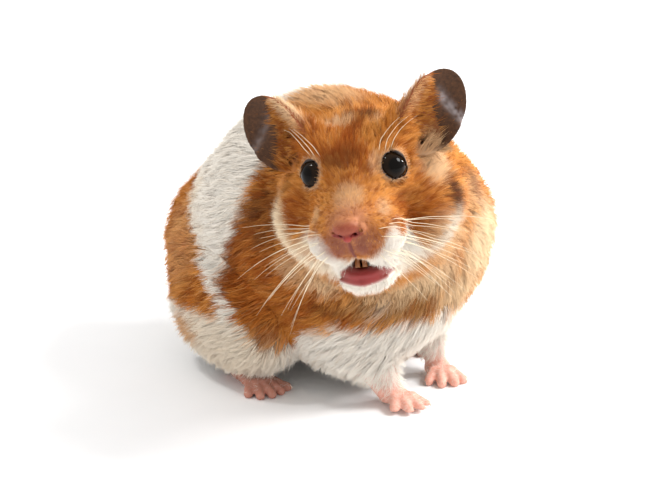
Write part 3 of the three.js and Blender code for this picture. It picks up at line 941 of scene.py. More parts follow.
def skin_material(colours):
    board = Board("skin")
    colour = coat_colour(board, colours)
    colour = board.mix(0.32 - board.read("white") * 0.2, colour, tinted(120, 80, 60))
    fine, pores = board.noise(1400, 3, 0.6), board.noise(3500, 2, 0.5)
    pink = board.mix(fine, tinted(214, 132, 118), tinted(230, 160, 146))
    paw = board.mix((fine * 1.4 - 0.2).clamp(), tinted(218, 138, 114), tinted(238, 196, 180))
    mauve = board.mix(pores, tinted(112, 58, 48), tinted(150, 86, 72))
    nose = board.mix(fine, tinted(128, 54, 34), tinted(158, 80, 56))
    ear = board.mix((fine * 1.5 - 0.3).clamp(), tinted(50, 29, 14), tinted(98, 62, 36))
    bare = {
        # The hind feet's darker brown is painted shade.
        "paw": paw, "hind": tinted(150, 84, 62), "tail": pink, "bald": mauve, "nose": nose,
        "low_nose": tinted(156, 54, 48), "slit": tinted(112, 54, 44), "ear": ear,
        # The pale grey streak on the ears is a painted highlight.
        "ear_fur": tinted(150, 80, 44), "sheen": tinted(176, 166, 166),
        "mouth": tinted(140, 76, 68), "lip": tinted(150, 58, 56),
        # The dark red-brown deep in the mouth is painted shade.
        "painted_mouth_shade": tinted(64, 22, 12), "nostril": tinted(110, 30, 26), "lid": tinted(60, 50, 46),
    }
    for name, shade in bare.items():
        colour = board.mix(board.read(name), colour, shade)
    wet = board.read("mouth") + board.read("lip") * 0.6 + board.read("nose") * 0.5 + board.read("lid") * 0.6
    rough = (0.62 - wet * 0.32 - board.read("ear") * 0.08).clamp()
    height = fine * 0.6 + pores * 0.4
    return board.finish(colour, rough, height, 0.00012, Specular_IOR_Level=0.28)


def eye_material():
    board = Board("eye")
    iris = board.read("iris")
    fibres = board.noise(1800, 3, 0.6)
    brown = board.mix(fibres, tinted(20, 11, 4), tinted(36, 22, 10))
    colour = board.mix(iris, tinted(9, 6, 4), brown)
    return board.finish(colour, 0.03 + fibres * 0.02, Specular_IOR_Level=0.1)


# Scale, detail and roughness of the grain, two colours, roughness and what grain adds to it, depth of bumps.
GRAINED = {
    # The teeth's own orange is darkened here as painted shade, most at the root, under the lip.
    "enamel": ((2500, 3, 0.6), (96, 46, 16), (142, 84, 36), (0.25, 0.15), 0.00004),
    "tongue_skin": ((5200, 2, 0.5), (120, 46, 36), (150, 70, 58), (0.35, 0.1), 0.0001),
    "claw": ((3000, 2, 0.5), (226, 176, 160), (244, 232, 218), (0.3, 0.1), 0.00003),
    "whisker": ((700, 2, 0.5), (250, 238, 212), (228, 204, 164), (0.35, 0.1), None),
    "floor": ((60, 3, 0.5), (246, 246, 246), (250, 250, 250), (0.6, 0.05), None),
}
# These two change colour from root to tip, and have streaks; on the teeth, the darker root is painted shade
# under the lip.
STREAKED = {"enamel": (0.4, (130, 80, 40)), "claw": (0.3, (214, 190, 170))}


def grained(name, **constants):
    """One of the plainer materials."""
    board = Board(name)
    grain, first, second, (rough, added), depth = GRAINED[name]
    grain = board.noise(*grain)
    share = board.read("along") if name in STREAKED else grain
    colour = board.mix(share, tinted(*first), tinted(*second))
    if name in STREAKED:
        strength, streak = STREAKED[name]
        colour = board.mix(grain * strength, colour, tinted(*streak))
    return board.finish(colour, rough + grain * added, grain if depth else None, depth, **constants)


# ---------------- the coat

def flow(p, normals):
    """The way that the coat lies at points p of the skin."""
    q = to_head(p)
    near_nose = q - NOSE_AT
    head_way = (unit(near_nose) + (0, 0.15, -0.1)) @ HEAD_TURN.T
    side = np.tanh((p[:, 0] - 2) / 10)
    front = ease(-18, -34, p[:, 1])
    body_way = np.stack([0.8 * side * front, 1 - 0.5 * front, -0.55 - 0.3 * front], 1)
    reach = length(q - (0, 2, -2))
    share = ease(33, 17, reach)[:, None]
    way = unit(head_way) * share + unit(body_way) * (1 - share)
    low = (ease(13, 5, p[:, 2]) * ease(60, 30, p[:, 1]))[:, None]
    way = way * (1 - low) + np.array([0, 0.35, -1.0]) * low
    for word, s in SIDES.items():
        _, v, off, rim = ear_place(q, word)
        _, turn = ear_frame(word)
        m = (ease(2.4, 1.6, np.abs(off)) * ease(1.35, 1.2, rim) * ease(-0.9, -0.6, v))[:, None]
        way = way * (1 - m) + (HEAD_TURN @ turn @ np.array([1.0 * s, 0, 0.6])) * m
    way -= normals * np.einsum("ij,ij->i", way, normals)[:, None]
    return unit(way)


# What share of the tufts each kind of bare skin is without, and how much shorter they are there.
THINNED = {"nose": 1, "nostril": 1, "slit": 1, "mouth": 1, "lid": 1, "lip": 0.6, "bald": 0.75, "ear": 0.99,
           "paw": 0.93, "tail": 0.3}
SHORTENED = {"bald": 0.6, "lip": 0.6, "paw": 0.45, "tail": 0.7, "ear": 0.85, "ear_fur": 0.78}


def coat_plan(p, radius):
    """How many tufts a square millimetre has at points p, and how long and wide they are."""
    t = from_nose(p)
    bare = bareness(p, radius)
    count = 10 + 32 * (1 - t) ** 1.1
    long = (0.8 + 6.1 * t ** 1.45) * (1 - 0.55 * ease(16, 4, p[:, 2]))
    wide = 0.08 + 0.1 * t
    for name, share in THINNED.items():
        count = count * (1 - share * bare[name])
    count = count * ease(0.6, 1.4, p[:, 2])
    short = np.maximum.reduce([bare[name] * share for name, share in SHORTENED.items()])
    long = long * (1 - short) * (1 - 0.7 * bare["rim"])
    wide = wide * (1 - 0.45 * np.maximum(bare["ear"], bare["paw"]))
    return count, long, wide


LOCK_TUFTS = 22  # tufts that share a leader
LOCK_PULL = 0.6  # how far they lean to it at most


def scatter(points, triangles, normals, total, radius, rng):
    """Roots spread over the skin as densely as the coat's plan says, with the skin's normals there."""
    a, b, c = (points[triangles[:, i]] for i in range(3))
    area = length(np.cross(b - a, c - a)) / 2
    weight = area * coat_plan((a + b + c) / 3, radius)[0]
    weight *= total / weight.sum()
    ends = np.cumsum(weight)
    marks = np.arange(int(ends[-1])) + rng.uniform(0, 1)
    chosen = np.searchsorted(ends, np.minimum(marks, ends[-1] - 1e-6))
    r, s = rng.uniform(0, 1, (2, len(chosen)))
    over = r + s > 1
    r, s = np.where(over, 1 - r, r), np.where(over, 1 - s, s)
    shares = np.stack([1 - r - s, r, s], 1)[:, :, None]
    corner = triangles[chosen]
    return (points[corner] * shares).sum(1), unit((normals[corner] * shares).sum(1))


def gather(roots, tips, long, every, pull, rng):
    """Draws tips together into locks, each to the tip of its nearest leader. Gives each one's leader too."""
    leaders = rng.choice(len(roots), max(1, len(roots) // every), replace=False)
    tree = KDTree(len(leaders))
    middle = roots * 0.6 + tips * 0.4
    for i, n in enumerate(leaders):
        tree.insert(middle[n], i)
    tree.balance()
    nearest = np.array([tree.find(m)[1] for m in middle])
    leader = leaders[nearest]
    gap = length(tips[leader] - tips)
    share = pull * rng.uniform(0.4, 1, len(roots)) * ease(1.1, 0.5, gap / long)
    return tips + (tips[leader] - tips) * share[:, None], leader


def lift(points, heights, form):
    """Moves points off or towards the skin until they are at these heights over it."""
    normal, f, steep = slope(form, points.astype(np.float32), 0.1)
    return points + normal * np.clip((heights - f) / np.maximum(steep, 0.5), -3.5, 3.5)[:, None]


def grow(roots, normals, radius, rng):
    """Each tuft's root, middle, tip, sideways and outward ways and width, and which tuft leads its lock."""
    _, long, wide = coat_plan(roots, radius)
    depth = coat_depth(roots)
    long = long * rng.uniform(0.7, 1.2, len(roots))
    wide = wide * rng.uniform(0.75, 1.3, len(roots))
    way = flow(roots, normals)
    side = np.cross(normals, way)
    sway = 0.27 * rng.standard_normal(len(roots)) + 0.35 * lattice(roots, 4, 11)
    way = unit(way + side * sway[:, None])
    side = unit(np.cross(normals, way))
    tips, leader = gather(roots, roots + way * long[:, None], long, LOCK_TUFTS, LOCK_PULL, rng)
    share = rng.uniform(0, 1, len(roots))
    height = depth * (0.35 + 0.5 * share[leader] + 0.35 * share) * (1 + 0.25 * lattice(roots, 6, 12))
    stray = rng.uniform(0, 1, len(roots)) > 0.9
    height = np.where(stray, height * 1.5, height)
    wide = np.where(stray, wide * 0.65, wide)
    height = height * (1 + 0.45 * ease(60, 66, roots[:, 2]) * ease(-22, -14, roots[:, 1]) * (share - 0.2))
    height = np.minimum(height, 0.7 * long)
    flat = np.sqrt(np.maximum(1 - (height / long) ** 2, 0.04))[:, None]
    tips = roots + (tips - roots) * flat
    middle = lift(roots + way * (0.42 * long)[:, None] * flat, 0.62 * height, skin_form)
    tips = lift(tips, height, skin_form)
    tips[:, 2] = np.where(roots[:, 2] > 3, np.maximum(tips[:, 2], 0.5), tips[:, 2])
    return (roots - normals * 0.15, middle, tips, side, normals, wide), leader


def over_eye(p):
    """Where points lie in front of an eye's opening."""
    q = to_head(p)
    over = np.zeros(len(p), bool)
    for side in SIDES.values():
        e = eye_place(q, side)
        over |= (length(e[:, :2] - (0.1, 0)) < 2.75) & (e[:, 2] > 0)
    return over


def past_ear(p):
    """Where points lie beyond the rim of an ear."""
    q = to_head(p)
    past = np.zeros(len(p), bool)
    for word in SIDES:
        _, _, off, rim = ear_place(q, word)
        past |= (in_ear(q, word)[:, 2] > 0.4 * EAR["height"]) & (rim > 1.06) & (np.abs(off) < 2.5)
    return past


def unroll(q):
    """Where points lie on an unwrap: the angle about the long axis, and from its front end."""
    return np.arctan2(q[:, 0], q[:, 2]), np.arccos(np.clip(-q[:, 1] / length(q), -1, 1))


def unroll_body(p):
    return unroll(p - (2, 6, 32))


def unroll_head(p):
    return unroll(to_head(p) - (0, 2, -2))


def unroll_legs(p):
    """Each leg's own quarter: the angle about the leg, and the height up it."""
    at = np.array([leg["at"] for leg in LEGS.values()], float) + (0, 3, 0)
    far = np.linalg.norm(p[:, None, :2] - at[None, :, :2], axis=2)
    which = far.argmin(1)
    q = p - at[which]
    return which + 0.5 + 0.48 * np.arctan2(q[:, 0], q[:, 1]) / math.pi, p[:, 2]


PATCH = 0.0015
SPINDLE = {
    "faces": np.array([[0, 2, 1], [0, 3, 2], [0, 1, 3], [4, 1, 2], [4, 2, 3], [4, 3, 1]]),
    "along": (0.0, 0.4, 0.4, 0.4, 1.0), "patch": ((-1, 0), (0, -1), (0, 1), (0.2, 0), (1, 0)), "most": 33000,
}
SPIKE = {
    "faces": np.array([[0, 2, 1], [0, 1, 3], [1, 2, 3], [2, 0, 3]]),
    "along": (0.1, 0.1, 0.1, 1.0), "patch": ((-1, -1), (-1, 1), (-1, 0), (1, 0)), "most": 49000,
}


def coat_piece(name, kind, tuft, marks, chance, lock, unwrap):
    """One piece of the coat as a single mesh, with its patches on the unwrap."""
    root, middle, tip, side, normal, wide = tuft
    n = len(root)
    half = (wide / 2)[:, None]
    left, right = normal * 0.8 - side * 0.6, normal * 0.8 + side * 0.6
    if kind is SPINDLE:
        corners = [root, middle - side * half, middle + side * half, middle + normal * half * 0.8, tip]
        facing = [normal, left, right, normal, normal]
    else:
        corners = [root - side * half, root + side * half, root + normal * half * 0.8, tip]
        facing = [left, right, normal, normal]
    k = len(corners)
    faces = (np.arange(n)[:, None, None] * k + kind["faces"][None]).reshape(-1, 3)
    piece = new_mesh(name, np.stack(corners, 1).reshape(-1, 3), faces)
    mesh = piece.data
    write(mesh, along=np.tile(kind["along"], n), chance=np.repeat(chance, k), lock=np.repeat(lock, k),
          **{key: np.repeat(value, k) for key, value in marks.items()})
    mesh.normals_split_custom_set_from_vertices(unit(np.stack(facing, 1).reshape(-1, 3)).astype(np.float32))
    spread = [(x - x.min()) / max(np.ptp(x), 1e-6) * (1 - 6 * PATCH) + 3 * PATCH for x in unwrap]
    uv = (np.stack(spread, 1)[:, None, :] + np.array(kind["patch"])[None] * PATCH).reshape(-1, 2)
    mesh.uv_layers.new(name="OFBake").data.foreach_set("uv", uv[faces.ravel()].astype(np.float32).ravel())
    return piece


# ---------------- sizes and colours that a user would change

class HamsterShape(bpy.types.PropertyGroup):
    cell: FloatProperty(name="Skin Cell", description="Cell of the grid that the skin's mesh comes from",
                        default=0.0003, min=0.0002, subtype="DISTANCE", unit="LENGTH")
    skin_faces: IntProperty(name="Skin Triangles", description="How many triangles the skin keeps",
                            default=190000, min=20000)
    eye_radius: FloatProperty(name="Eye Radius", description="Half the width of an eye",
                              default=EYE_RADIUS / 1000, subtype="DISTANCE", unit="LENGTH")
    tufts: IntProperty(name="Tufts", description="How many tufts the coat has in all",
                       default=275000, min=1000)
    seed: IntProperty(name="Seed", description="Seed of everything random in the coat", default=7)
    whisker_radius: FloatProperty(name="Whisker Radius",
                                  description="Half the width of a whisker at its root",
                                  default=0.00006, subtype="DISTANCE", unit="LENGTH")


def swatch(name, description, r, g, b):
    return FloatVectorProperty(name=name, description=description, default=(r / 255, g / 255, b / 255),
                               size=3, min=0, max=1, subtype="COLOR_GAMMA")


class HamsterColours(bpy.types.PropertyGroup):
    orange: swatch("Orange", "The back's and cheeks' main colour", 204, 116, 36)
    gold: swatch("Gold", "The lighter patches of orange", 232, 158, 78)
    rust: swatch("Rust", "The darker hairs among the orange", 132, 62, 16)
    deep: swatch("Deep Orange", "Under the eyes and over the brows", 156, 72, 16)
    # Tan also darkens the roots of white hairs as painted shade.
    tan: swatch("Tan", "The throat and upper chest", 180, 134, 84)
    # Cream also lays painted shade low on the right of the muzzle and on the right flank.
    cream: swatch("Cream", "Cheek crescents", 240, 212, 172)
    white: swatch("White", "Belly, band, muzzle and legs", 251, 244, 232)
    mauve: swatch("Mauve", "Thin hair under and beside the nose", 146, 84, 68)
    # Blush also lays painted shade low on the right of the muzzle.
    blush: swatch("Blush", "Thin hair over the nose", 200, 130, 90)
    # Dark also lays painted shade down the right side of the mantle.
    dark: swatch("Dark", "Cheek flashes and smudges", 70, 42, 22)


# ---------------- the pieces

def closed(rings):
    """Points and faces of a closed surface through rings of equal counts, its ends drawn to a point."""
    rings = np.asarray(rings, float)
    n, k = rings.shape[:2]
    points = np.concatenate([rings.reshape(-1, 3), rings[:1].mean(1), rings[-1:].mean(1)])
    i, j = np.meshgrid(np.arange(n - 1), np.arange(k), indexing="ij")
    a, b = i * k + j, i * k + (j + 1) % k
    sides = np.stack([a, b, b + k, a + k], -1).reshape(-1, 4)
    tris = np.concatenate([sides[:, [0, 1, 2]], sides[:, [0, 2, 3]]])
    around = np.arange(k)
    start = np.stack([np.full(k, n * k), (around + 1) % k, around], 1)
    end = np.stack([np.full(k, n * k + 1), (n - 1) * k + around, (n - 1) * k + (around + 1) % k], 1)
    faces = np.concatenate([tris, start, end])
    return points, faces if volume(points, faces) > 0 else faces[:, ::-1]


def circle(count):
    """Angles spread evenly round a circle."""
    return np.linspace(0, 2 * math.pi, count, endpoint=False)


class HAMSTER_OT_skin(bpy.types.Operator):
    """One skin over head, ears, trunk, tail, legs and feet"""
    bl_idname = "hamster.skin"
    bl_label = "Skin"

    def execute(self, context):
        shape = context.scene.hamster_shape
        radius = shape.eye_radius / MM

        def form(p):
            return skin_form(p, radius)

        low, high = (np.array(corner) / MM - SHIFT for corner in CAD_BOX)
        points, quads = net(form, low - (1, 1, 0.5), high + 1, shape.cell / MM)
        points = settle(form, points, 2)
        piece = new_mesh("skin", points, quads)
        keep = detail_wanted(points)
        group = piece.vertex_groups.new(name="plain")
        for level in range(11):
            chosen = np.nonzero(np.round((1 - keep) * 10) == level)[0]
            if len(chosen):
                group.add(chosen.tolist(), level / 10, "REPLACE")
        thin = piece.modifiers.new("Thin", "DECIMATE")
        thin.ratio = shape.skin_faces / (2 * len(quads))
        thin.vertex_group = "plain"
        thin.vertex_group_factor = 3.0
        plain_mesh(piece)
        piece.vertex_groups.clear()
        p = points_of(piece.data)
        write(piece.data, **markings(p), **bareness(p, radius))
        finish_piece(piece, skin_material(context.scene.hamster_colours), FLESH)
        return {"FINISHED"}


def detail_wanted(p):
    """1 on the face, ears and feet, where the skin shows, down to 0 under the trunk's coat."""
    q = to_head(p)
    face = ease(14, 9, length((q - (0, -17, -6)) * (0.9, 0.8, 0.9)))
    ear = np.zeros(len(p))
    for word in SIDES:
        at, _ = ear_frame(word)
        ear = np.maximum(ear, ease(12, 9, length(q - at)))
    feet = ease(7, 4, p[:, 2]) * near_feet(np.asarray(p, float))
    return np.maximum.reduce([face, 0.5 * ear, 0.8 * feet])


class HAMSTER_OT_coat(bpy.types.Operator):
    """The coat, in closed tufts that follow the way the hair lies"""
    bl_idname = "hamster.coat"
    bl_label = "Coat"

    def execute(self, context):
        shape = context.scene.hamster_shape
        radius = shape.eye_radius / MM
        skin = bpy.data.objects["skin"].data
        rng = np.random.default_rng(shape.seed)
        normals = rows(skin.vertices, "normal").astype(float)
        total = shape.tufts // 1
        roots, normals = scatter(points_of(skin), triangles_of(skin), normals, total, radius, rng)
        tufts, leader = grow(roots, normals, radius, rng)
        marks = markings(0.55 * tufts[0] + 0.45 * tufts[2] + 0.3 * rng.standard_normal(roots.shape))
        chance = rng.uniform(0, 1, len(roots))
        lock = 0.7 * chance[leader] + 0.3 * chance
        clear = ~over_eye(tufts[1]) & ~over_eye(tufts[2]) & ~past_ear(tufts[2]) & (tufts[2][:, 2] > 0.3)
        on_leg = (roots[:, 2] < 13) & (near_feet(roots) > 0.3)
        on_head = (head_lead(roots) < 0) & ~on_leg
        material = coat_material(context.scene.hamster_colours)
        parts = (("head", SPIKE, on_head, unroll_head), ("legs", SPIKE, on_leg, unroll_legs),
                 ("body", SPINDLE, ~on_head & ~on_leg, unroll_body))
        for name, kind, chosen, laid_flat in parts:
            index = np.nonzero(chosen & clear)[0]
            round_, along = laid_flat(roots[index])
            order = np.argsort(round_, kind="stable")
            pieces = max(1, math.ceil(len(index) / kind["most"]))
            for number, part in enumerate(np.array_split(order, pieces)):
                own = index[part]
                piece = coat_piece(f"coat_{name}_{number + 1}", kind, [x[own] for x in tufts],
                                   {key: value[own] for key, value in marks.items()}, chance[own], lock[own],
                                   (round_[part], along[part]))
                finish_piece(piece, material)
        return {"FINISHED"}


TIP_RADIUS = 0.000012  # of claws and whiskers, in metres
EYE_RINGS, EYE_SIDES = 56, 72
TOOTH_RINGS, TOOTH_SIDES = 14, 20
TONGUE_RINGS, TONGUE_SIDES = 22, 24


class HAMSTER_OT_eyes(bpy.types.Operator):
    """The eyes, each a ball with a clear swell over the iris"""
    bl_idname = "hamster.eyes"
    bl_label = "Eyes"

    def execute(self, context):
        radius = context.scene.hamster_shape.eye_radius / MM
        material = eye_material()
        for word, side in SIDES.items():
            out = EYE_LOOKS * (side, 1, 1)
            across = np.cross(out, (0, 0, 1.0))
            across /= np.linalg.norm(across)
            up = np.cross(across, out)
            angles = np.linspace(0.03, math.pi - 0.03, EYE_RINGS)
            around = circle(EYE_SIDES)
            reach = radius * (0.99 + 0.012 * np.exp(-(angles / 0.75) ** 2))
            ring = np.cos(around)[:, None] * across + np.sin(around)[:, None] * up
            rings = reach[:, None, None] * (np.sin(angles)[:, None, None] * ring[None]
                                            + np.cos(angles)[:, None, None] * out)
            points, faces = closed(rings)
            tilt = np.append(np.repeat(angles, EYE_SIDES), [0, math.pi])
            points = from_head(points + (side * EYE_AT[0], EYE_AT[1], EYE_AT[2]))
            piece = new_mesh(f"eyeball_{word}", points, faces)
            write(piece.data, iris=ease(0.42, 0.62, tilt))
            finish_piece(piece, material, [f"eye_{word}"])
        return {"FINISHED"}


def tooth(side):
    """An upper incisor: a curved bar with a chisel end, worn at the back."""
    rings = []
    around = circle(TOOTH_SIDES)
    for t in np.linspace(0, 1, TOOTH_RINGS):
        middle = np.array([side * (0.7 + 0.04 * t), -14.6 - 2.0 * t + 0.5 * t ** 2, -10.6 - 3.9 * t])
        forward = np.array([0, -1, 0.25 + 0.3 * t]) / np.linalg.norm([0, -1, 0.25 + 0.3 * t])
        worn = ease(0.72, 1, np.array([t]))[0]
        x = np.sign(np.cos(around)) * np.abs(np.cos(around)) ** 0.6 * (0.54 - 0.03 * t)
        y = np.sign(np.sin(around)) * np.abs(np.sin(around)) ** 0.7 * 0.38
        y = np.where(y < 0, y * (1 - 0.85 * worn), y)
        rings.append(middle + x[:, None] * (1, 0, 0) + y[:, None] * forward)
    return closed(rings)


class HAMSTER_OT_mouth(bpy.types.Operator):
    """The upper incisors and the tongue"""
    bl_idname = "hamster.mouth"
    bl_label = "Teeth and Tongue"

    def execute(self, context):
        (right, faces), (left, more) = tooth(-1), tooth(1)
        points = from_head(np.concatenate([right, left]))
        piece = new_mesh("incisors", points, np.concatenate([faces, more + len(right)]))
        down = np.repeat(np.linspace(0, 1, TOOTH_RINGS), TOOTH_SIDES)
        write(piece.data, along=np.tile(np.append(down, [0, 1]), 2))
        finish_piece(piece, grained("enamel"), ["upper_incisors"])
        rings, around = [], circle(TONGUE_SIDES)
        for s in np.linspace(0.02, 1, TONGUE_RINGS):
            y = -9.5 - 6.9 * s
            rounding = math.sqrt(max(1 - max(0, (s - 0.62) / 0.39) ** 2, 0.02))
            width = 2.5 * (1 - 0.25 * s) * rounding * min(1, 4 * s)
            x, z = np.cos(around) * width, np.sin(around) * (0.5 + 0.25 * width) * min(1, 4 * s)
            z = z - 0.28 * np.exp(-(x / 0.5) ** 2) * (np.sin(around) > 0) - 0.25 * s
            rings.append(np.stack([x, np.full(TONGUE_SIDES, y), z - 16.7 + 0.5 * math.sin(3 * s)], 1))
        points, faces = closed(rings)
        piece = new_mesh("tongue_body", from_head(points), faces)
        finish_piece(piece, grained("tongue_skin"), ["tongue"])
        return {"FINISHED"}


def spines_tree(name, material, sides, resolution, taper):
    """Turns strings of points into tapering closed spines, as thick and with as many sides as it is told."""
    tree = bpy.data.node_groups.new(name, "GeometryNodeTree")
    face = tree.interface
    face.new_socket("Geometry", in_out="INPUT", socket_type="NodeSocketGeometry")
    face.new_socket("Thickness", in_out="INPUT", socket_type="NodeSocketFloat").default_value = 0.0001
    face.new_socket("Sides", in_out="INPUT", socket_type="NodeSocketInt").default_value = sides
    face.new_socket("Geometry", in_out="OUTPUT", socket_type="NodeSocketGeometry")

    def add(kind, sockets=None, **settings):
        """A node with its settings, then its sockets' values or links."""
        node = tree.nodes.new(kind)
        for key, value in settings.items():
            setattr(node, key, value)
        for key, value in (sockets or {}).items():
            if isinstance(value, bpy.types.NodeSocket):
                tree.links.new(value, node.inputs[key])
            else:
                node.inputs[key].default_value = value
        return node

    given = add("NodeGroupInput").outputs
    line = add("GeometryNodeMeshToCurve", {"Mesh": given["Geometry"]})
    smooth = add("GeometryNodeCurveSplineType", {"Curve": line.outputs["Curve"]}, spline_type="CATMULL_ROM")
    even = add("GeometryNodeResampleCurve", {"Curve": smooth.outputs["Curve"], "Count": resolution})
    along = add("GeometryNodeSplineParameter").outputs["Factor"]
    rest = add("ShaderNodeMath", {0: 1.0, 1: along}, operation="SUBTRACT")
    power = add("ShaderNodeMath", {0: rest.outputs[0], 1: taper}, operation="POWER")
    size = add("ShaderNodeMath", {0: power.outputs[0], 1: given["Thickness"], 2: TIP_RADIUS},
               operation="MULTIPLY_ADD")
    kept = add("GeometryNodeStoreNamedAttribute",
               {"Geometry": even.outputs["Curve"], "Name": "along", "Value": along})
    profile = add("GeometryNodeCurvePrimitiveCircle", {"Radius": 1.0, "Resolution": given["Sides"]})
    sweep = add("GeometryNodeCurveToMesh",
                {"Curve": kept.outputs["Geometry"], "Profile Curve": profile.outputs["Curve"],
                 "Scale": size.outputs[0], "Fill Caps": True})
    round_ = add("GeometryNodeSetShadeSmooth", {"Geometry": sweep.outputs["Mesh"]})
    real = add("GeometryNodeRealizeInstances", {"Geometry": round_.outputs["Geometry"]})
    dressed = add("GeometryNodeSetMaterial", {"Geometry": real.outputs["Geometry"], "Material": material})
    add("NodeGroupOutput", {"Geometry": dressed.outputs["Geometry"]})
    return tree


def spines(name, strings, material, thickness, sides, resolution, taper):
    """A piece with one spine along each string of points."""
    mesh = bpy.data.meshes.new(name)
    points = to_row(np.concatenate(strings))
    edges, start = [], 0
    for s in strings:
        edges += [(start + i, start + i + 1) for i in range(len(s) - 1)]
        start += len(s)
    mesh.from_pydata(points.tolist(), edges, [])
    piece = add_object(name, mesh)
    tree = spines_tree(f"{name}_spines", material, sides, resolution, taper)
    modifier = piece.modifiers.new("Spines", "NODES")
    modifier.node_group = tree
    sockets = {item.name: item.identifier for item in tree.interface.items_tree if item.in_out == "INPUT"}
    modifier[sockets["Thickness"]] = thickness
    modifier[sockets["Sides"]] = sides
    plain_mesh(piece)
    turn_outward(piece.data)
    return piece


def turn_outward(mesh):
    """Turns the faces round where the closed mesh is inside out."""
    p = points_of(mesh)
    if volume(p - p.mean(0), triangles_of(mesh)) < 0:
        mesh.flip_normals()


class HAMSTER_OT_claws(bpy.types.Operator):
    """A small curved claw on each toe"""
    bl_idname = "hamster.claws"
    bl_label = "Claws"

    def execute(self, context):
        strings = []
        for leg in LEGS.values():
            for toe in foot_points(leg):
                along, tip = toe["along"], toe["tip"]
                strings.append(np.array([
                    along(tip - 0.5, 1.25), along(tip + 0.15, 1.35), along(tip + 0.75, 1.05),
                    along(tip + CLAW_LENGTH + 0.15, 0.45)]))
        piece = spines("claws", strings, grained("claw"), 0.36 * MM, 10, 12, 0.8)
        finish_piece(piece)
        return {"FINISHED"}


WHISKER_ROWS, WHISKERS_A_ROW, BROW_WHISKERS = 4, 5, 3  # on each side


class HAMSTER_OT_whiskers(bpy.types.Operator):
    """Long whiskers that fan out from both sides of the muzzle, and short ones over the eyes"""
    bl_idname = "hamster.whiskers"
    bl_label = "Whiskers"

    def execute(self, context):
        shape = context.scene.hamster_shape
        rng = np.random.default_rng(shape.seed + 1)
        strings = []
        for s in SIDES.values():
            for r, c in product(range(WHISKER_ROWS), range(WHISKERS_A_ROW)):
                at = np.array((s * (4.8 + 0.55 * c), -21.6 + 1.25 * c, -5.6 - 1.5 * r))
                at = at + rng.uniform(-0.3, 0.3, 3)
                long = (15 + 2.4 * c) * rng.uniform(0.8, 1.15)
                fall = math.radians((6 if s > 0 else -2) + 16 * r + rng.uniform(-6, 6))
                back = (0.72 if s > 0 else 0.3) + 0.06 * c + rng.uniform(-0.08, 0.08)
                way = np.array([s * math.cos(fall), back, -math.sin(fall)])
                droop = np.array([0, 0.1, -0.35]) * rng.uniform(0.7, 1.3)
                strings.append(whisker(from_head(at), way, droop, long))
            for n in range(BROW_WHISKERS):
                at = from_head((s * (6.2 + 1.2 * n), -12.5 + 0.6 * n, 9.2 - 0.2 * n))
                way = np.array([s * 0.6, -0.1 + 0.2 * n, 1.0])
                strings.append(whisker(at, way, np.array([s * 0.3, 0.6, -0.3]), 7))
        piece = spines("whiskers", strings, grained("whisker"), shape.whisker_radius, 5, 14, 0.9)
        finish_piece(piece)
        return {"FINISHED"}


WHISKER_POINTS = 7


def whisker(at, way, droop, long):
    """The points of one whisker, which clears the coat."""
    t = np.linspace(0, 1, WHISKER_POINTS)[:, None]
    root = np.arange(WHISKER_POINTS) == 0
    way = way / np.linalg.norm(way)
    points = (t * way + t ** 2 * 0.55 * droop) * long @ HEAD_TURN.T + at
    normal, f, _ = slope(skin_form, points.astype(np.float32), 0.1)
    wanted = np.where(root, -0.2, np.minimum(coat_depth(points) + 0.5, 0.4 + 2.2 * t[:, 0]))
    push = np.where(root, wanted - f, np.maximum(wanted - f, 0))
    return points + normal * push[:, None]


VIEW = {"azimuth": -40, "elevation": 18, "far": 0.45, "lens": 108.55, "target": (-1.947, 1.634, 30.487)}
WORLD_STRENGTH = 0.9
LIGHTS = {  # turned from the camera, degrees up, metres away, metres wide, watts
    "key": (86, 44, 0.9, 0.35, 7.0),
    "glint": (112, 20, 0.8, 0.1, 2.6),
    "spark": (-92, 61, 0.8, 0.08, 1.5),
}


def toward(azimuth, elevation):
    """The way to a place so many degrees round from the front, and up."""
    a, e = math.radians(azimuth), math.radians(elevation)
    return Vector((math.sin(a) * math.cos(e), -math.cos(a) * math.cos(e), math.sin(e)))


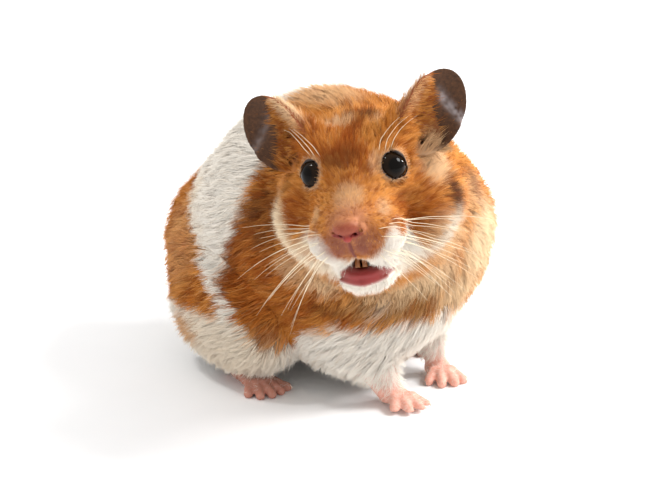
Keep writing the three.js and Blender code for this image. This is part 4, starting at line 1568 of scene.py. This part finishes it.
class HAMSTER_OT_stage(bpy.types.Operator):
    """The pale floor, the soft studio light and the camera"""
    bl_idname = "hamster.stage"
    bl_label = "Stage"

    def execute(self, context):
        scene = context.scene
        mesh = bpy.data.meshes.new("floor")
        mesh.from_pydata([(-4, -4, 0), (4, -4, 0), (4, 4, 0), (-4, 4, 0)], [], [(0, 1, 2, 3)])
        mesh.materials.append(grained("floor", Specular_IOR_Level=0.15))
        add_object("floor", mesh)

        world = bpy.data.worlds.new("studio")
        world.use_nodes = True
        background = world.node_tree.nodes["Background"].inputs
        background["Color"].default_value = (1, 1, 1, 1)
        background["Strength"].default_value = WORLD_STRENGTH
        scene.world = world
        scene.view_settings.view_transform = "Standard"

        back = toward(VIEW["azimuth"], VIEW["elevation"])
        target = Vector(to_row(VIEW["target"]))
        for name, (turn, rise, far, size, power) in LIGHTS.items():
            way = toward(VIEW["azimuth"] + turn, rise)
            lamp = bpy.data.lights.new(name, "AREA")
            lamp.shape, lamp.size, lamp.energy = "DISK", size, power
            holder = add_object(name, lamp)
            holder.location = target + way * far
            holder.rotation_euler = way.to_track_quat("Z", "Y").to_euler()

        lens = bpy.data.cameras.new("camera")
        lens.sensor_width, lens.lens = 36, VIEW["lens"]
        lens.clip_start, lens.clip_end = 0.01, 20
        camera = add_object("camera", lens)
        camera.location = target + back * VIEW["far"]
        camera.rotation_mode = "QUATERNION"
        camera.rotation_quaternion = back.to_track_quat("Z", "Y")
        scene.camera = camera
        return {"FINISHED"}


class HAMSTER_PT_panel(bpy.types.Panel):
    """What builds the hamster, piece by piece"""
    bl_idname = "HAMSTER_PT_panel"
    bl_label = "Hamster"
    bl_space_type = "VIEW_3D"
    bl_region_type = "UI"
    bl_category = "Hamster"

    def draw(self, context):
        for group in (context.scene.hamster_shape, context.scene.hamster_colours):
            for name in group.bl_rna.properties.keys():
                if name not in ("rna_type", "name"):
                    self.layout.prop(group, name)
        for operator in OPERATORS:
            self.layout.operator(operator.bl_idname)


OPERATORS = [HAMSTER_OT_skin, HAMSTER_OT_coat, HAMSTER_OT_eyes, HAMSTER_OT_mouth, HAMSTER_OT_claws,
             HAMSTER_OT_whiskers, HAMSTER_OT_stage]
CLASSES = [HamsterShape, HamsterColours, *OPERATORS, HAMSTER_PT_panel]


def register():
    for kind in CLASSES:
        bpy.utils.register_class(kind)
    bpy.types.Scene.hamster_shape = PointerProperty(type=HamsterShape)
    bpy.types.Scene.hamster_colours = PointerProperty(type=HamsterColours)


def unregister():
    del bpy.types.Scene.hamster_shape, bpy.types.Scene.hamster_colours
    for kind in reversed(CLASSES):
        bpy.utils.unregister_class(kind)


def main():
    register()
    bpy.ops.hamster.skin()
    bpy.ops.hamster.coat()
    bpy.ops.hamster.eyes()
    bpy.ops.hamster.mouth()
    bpy.ops.hamster.claws()
    bpy.ops.hamster.whiskers()
    bpy.ops.hamster.stage()


if __name__ == "__main__":
    main()
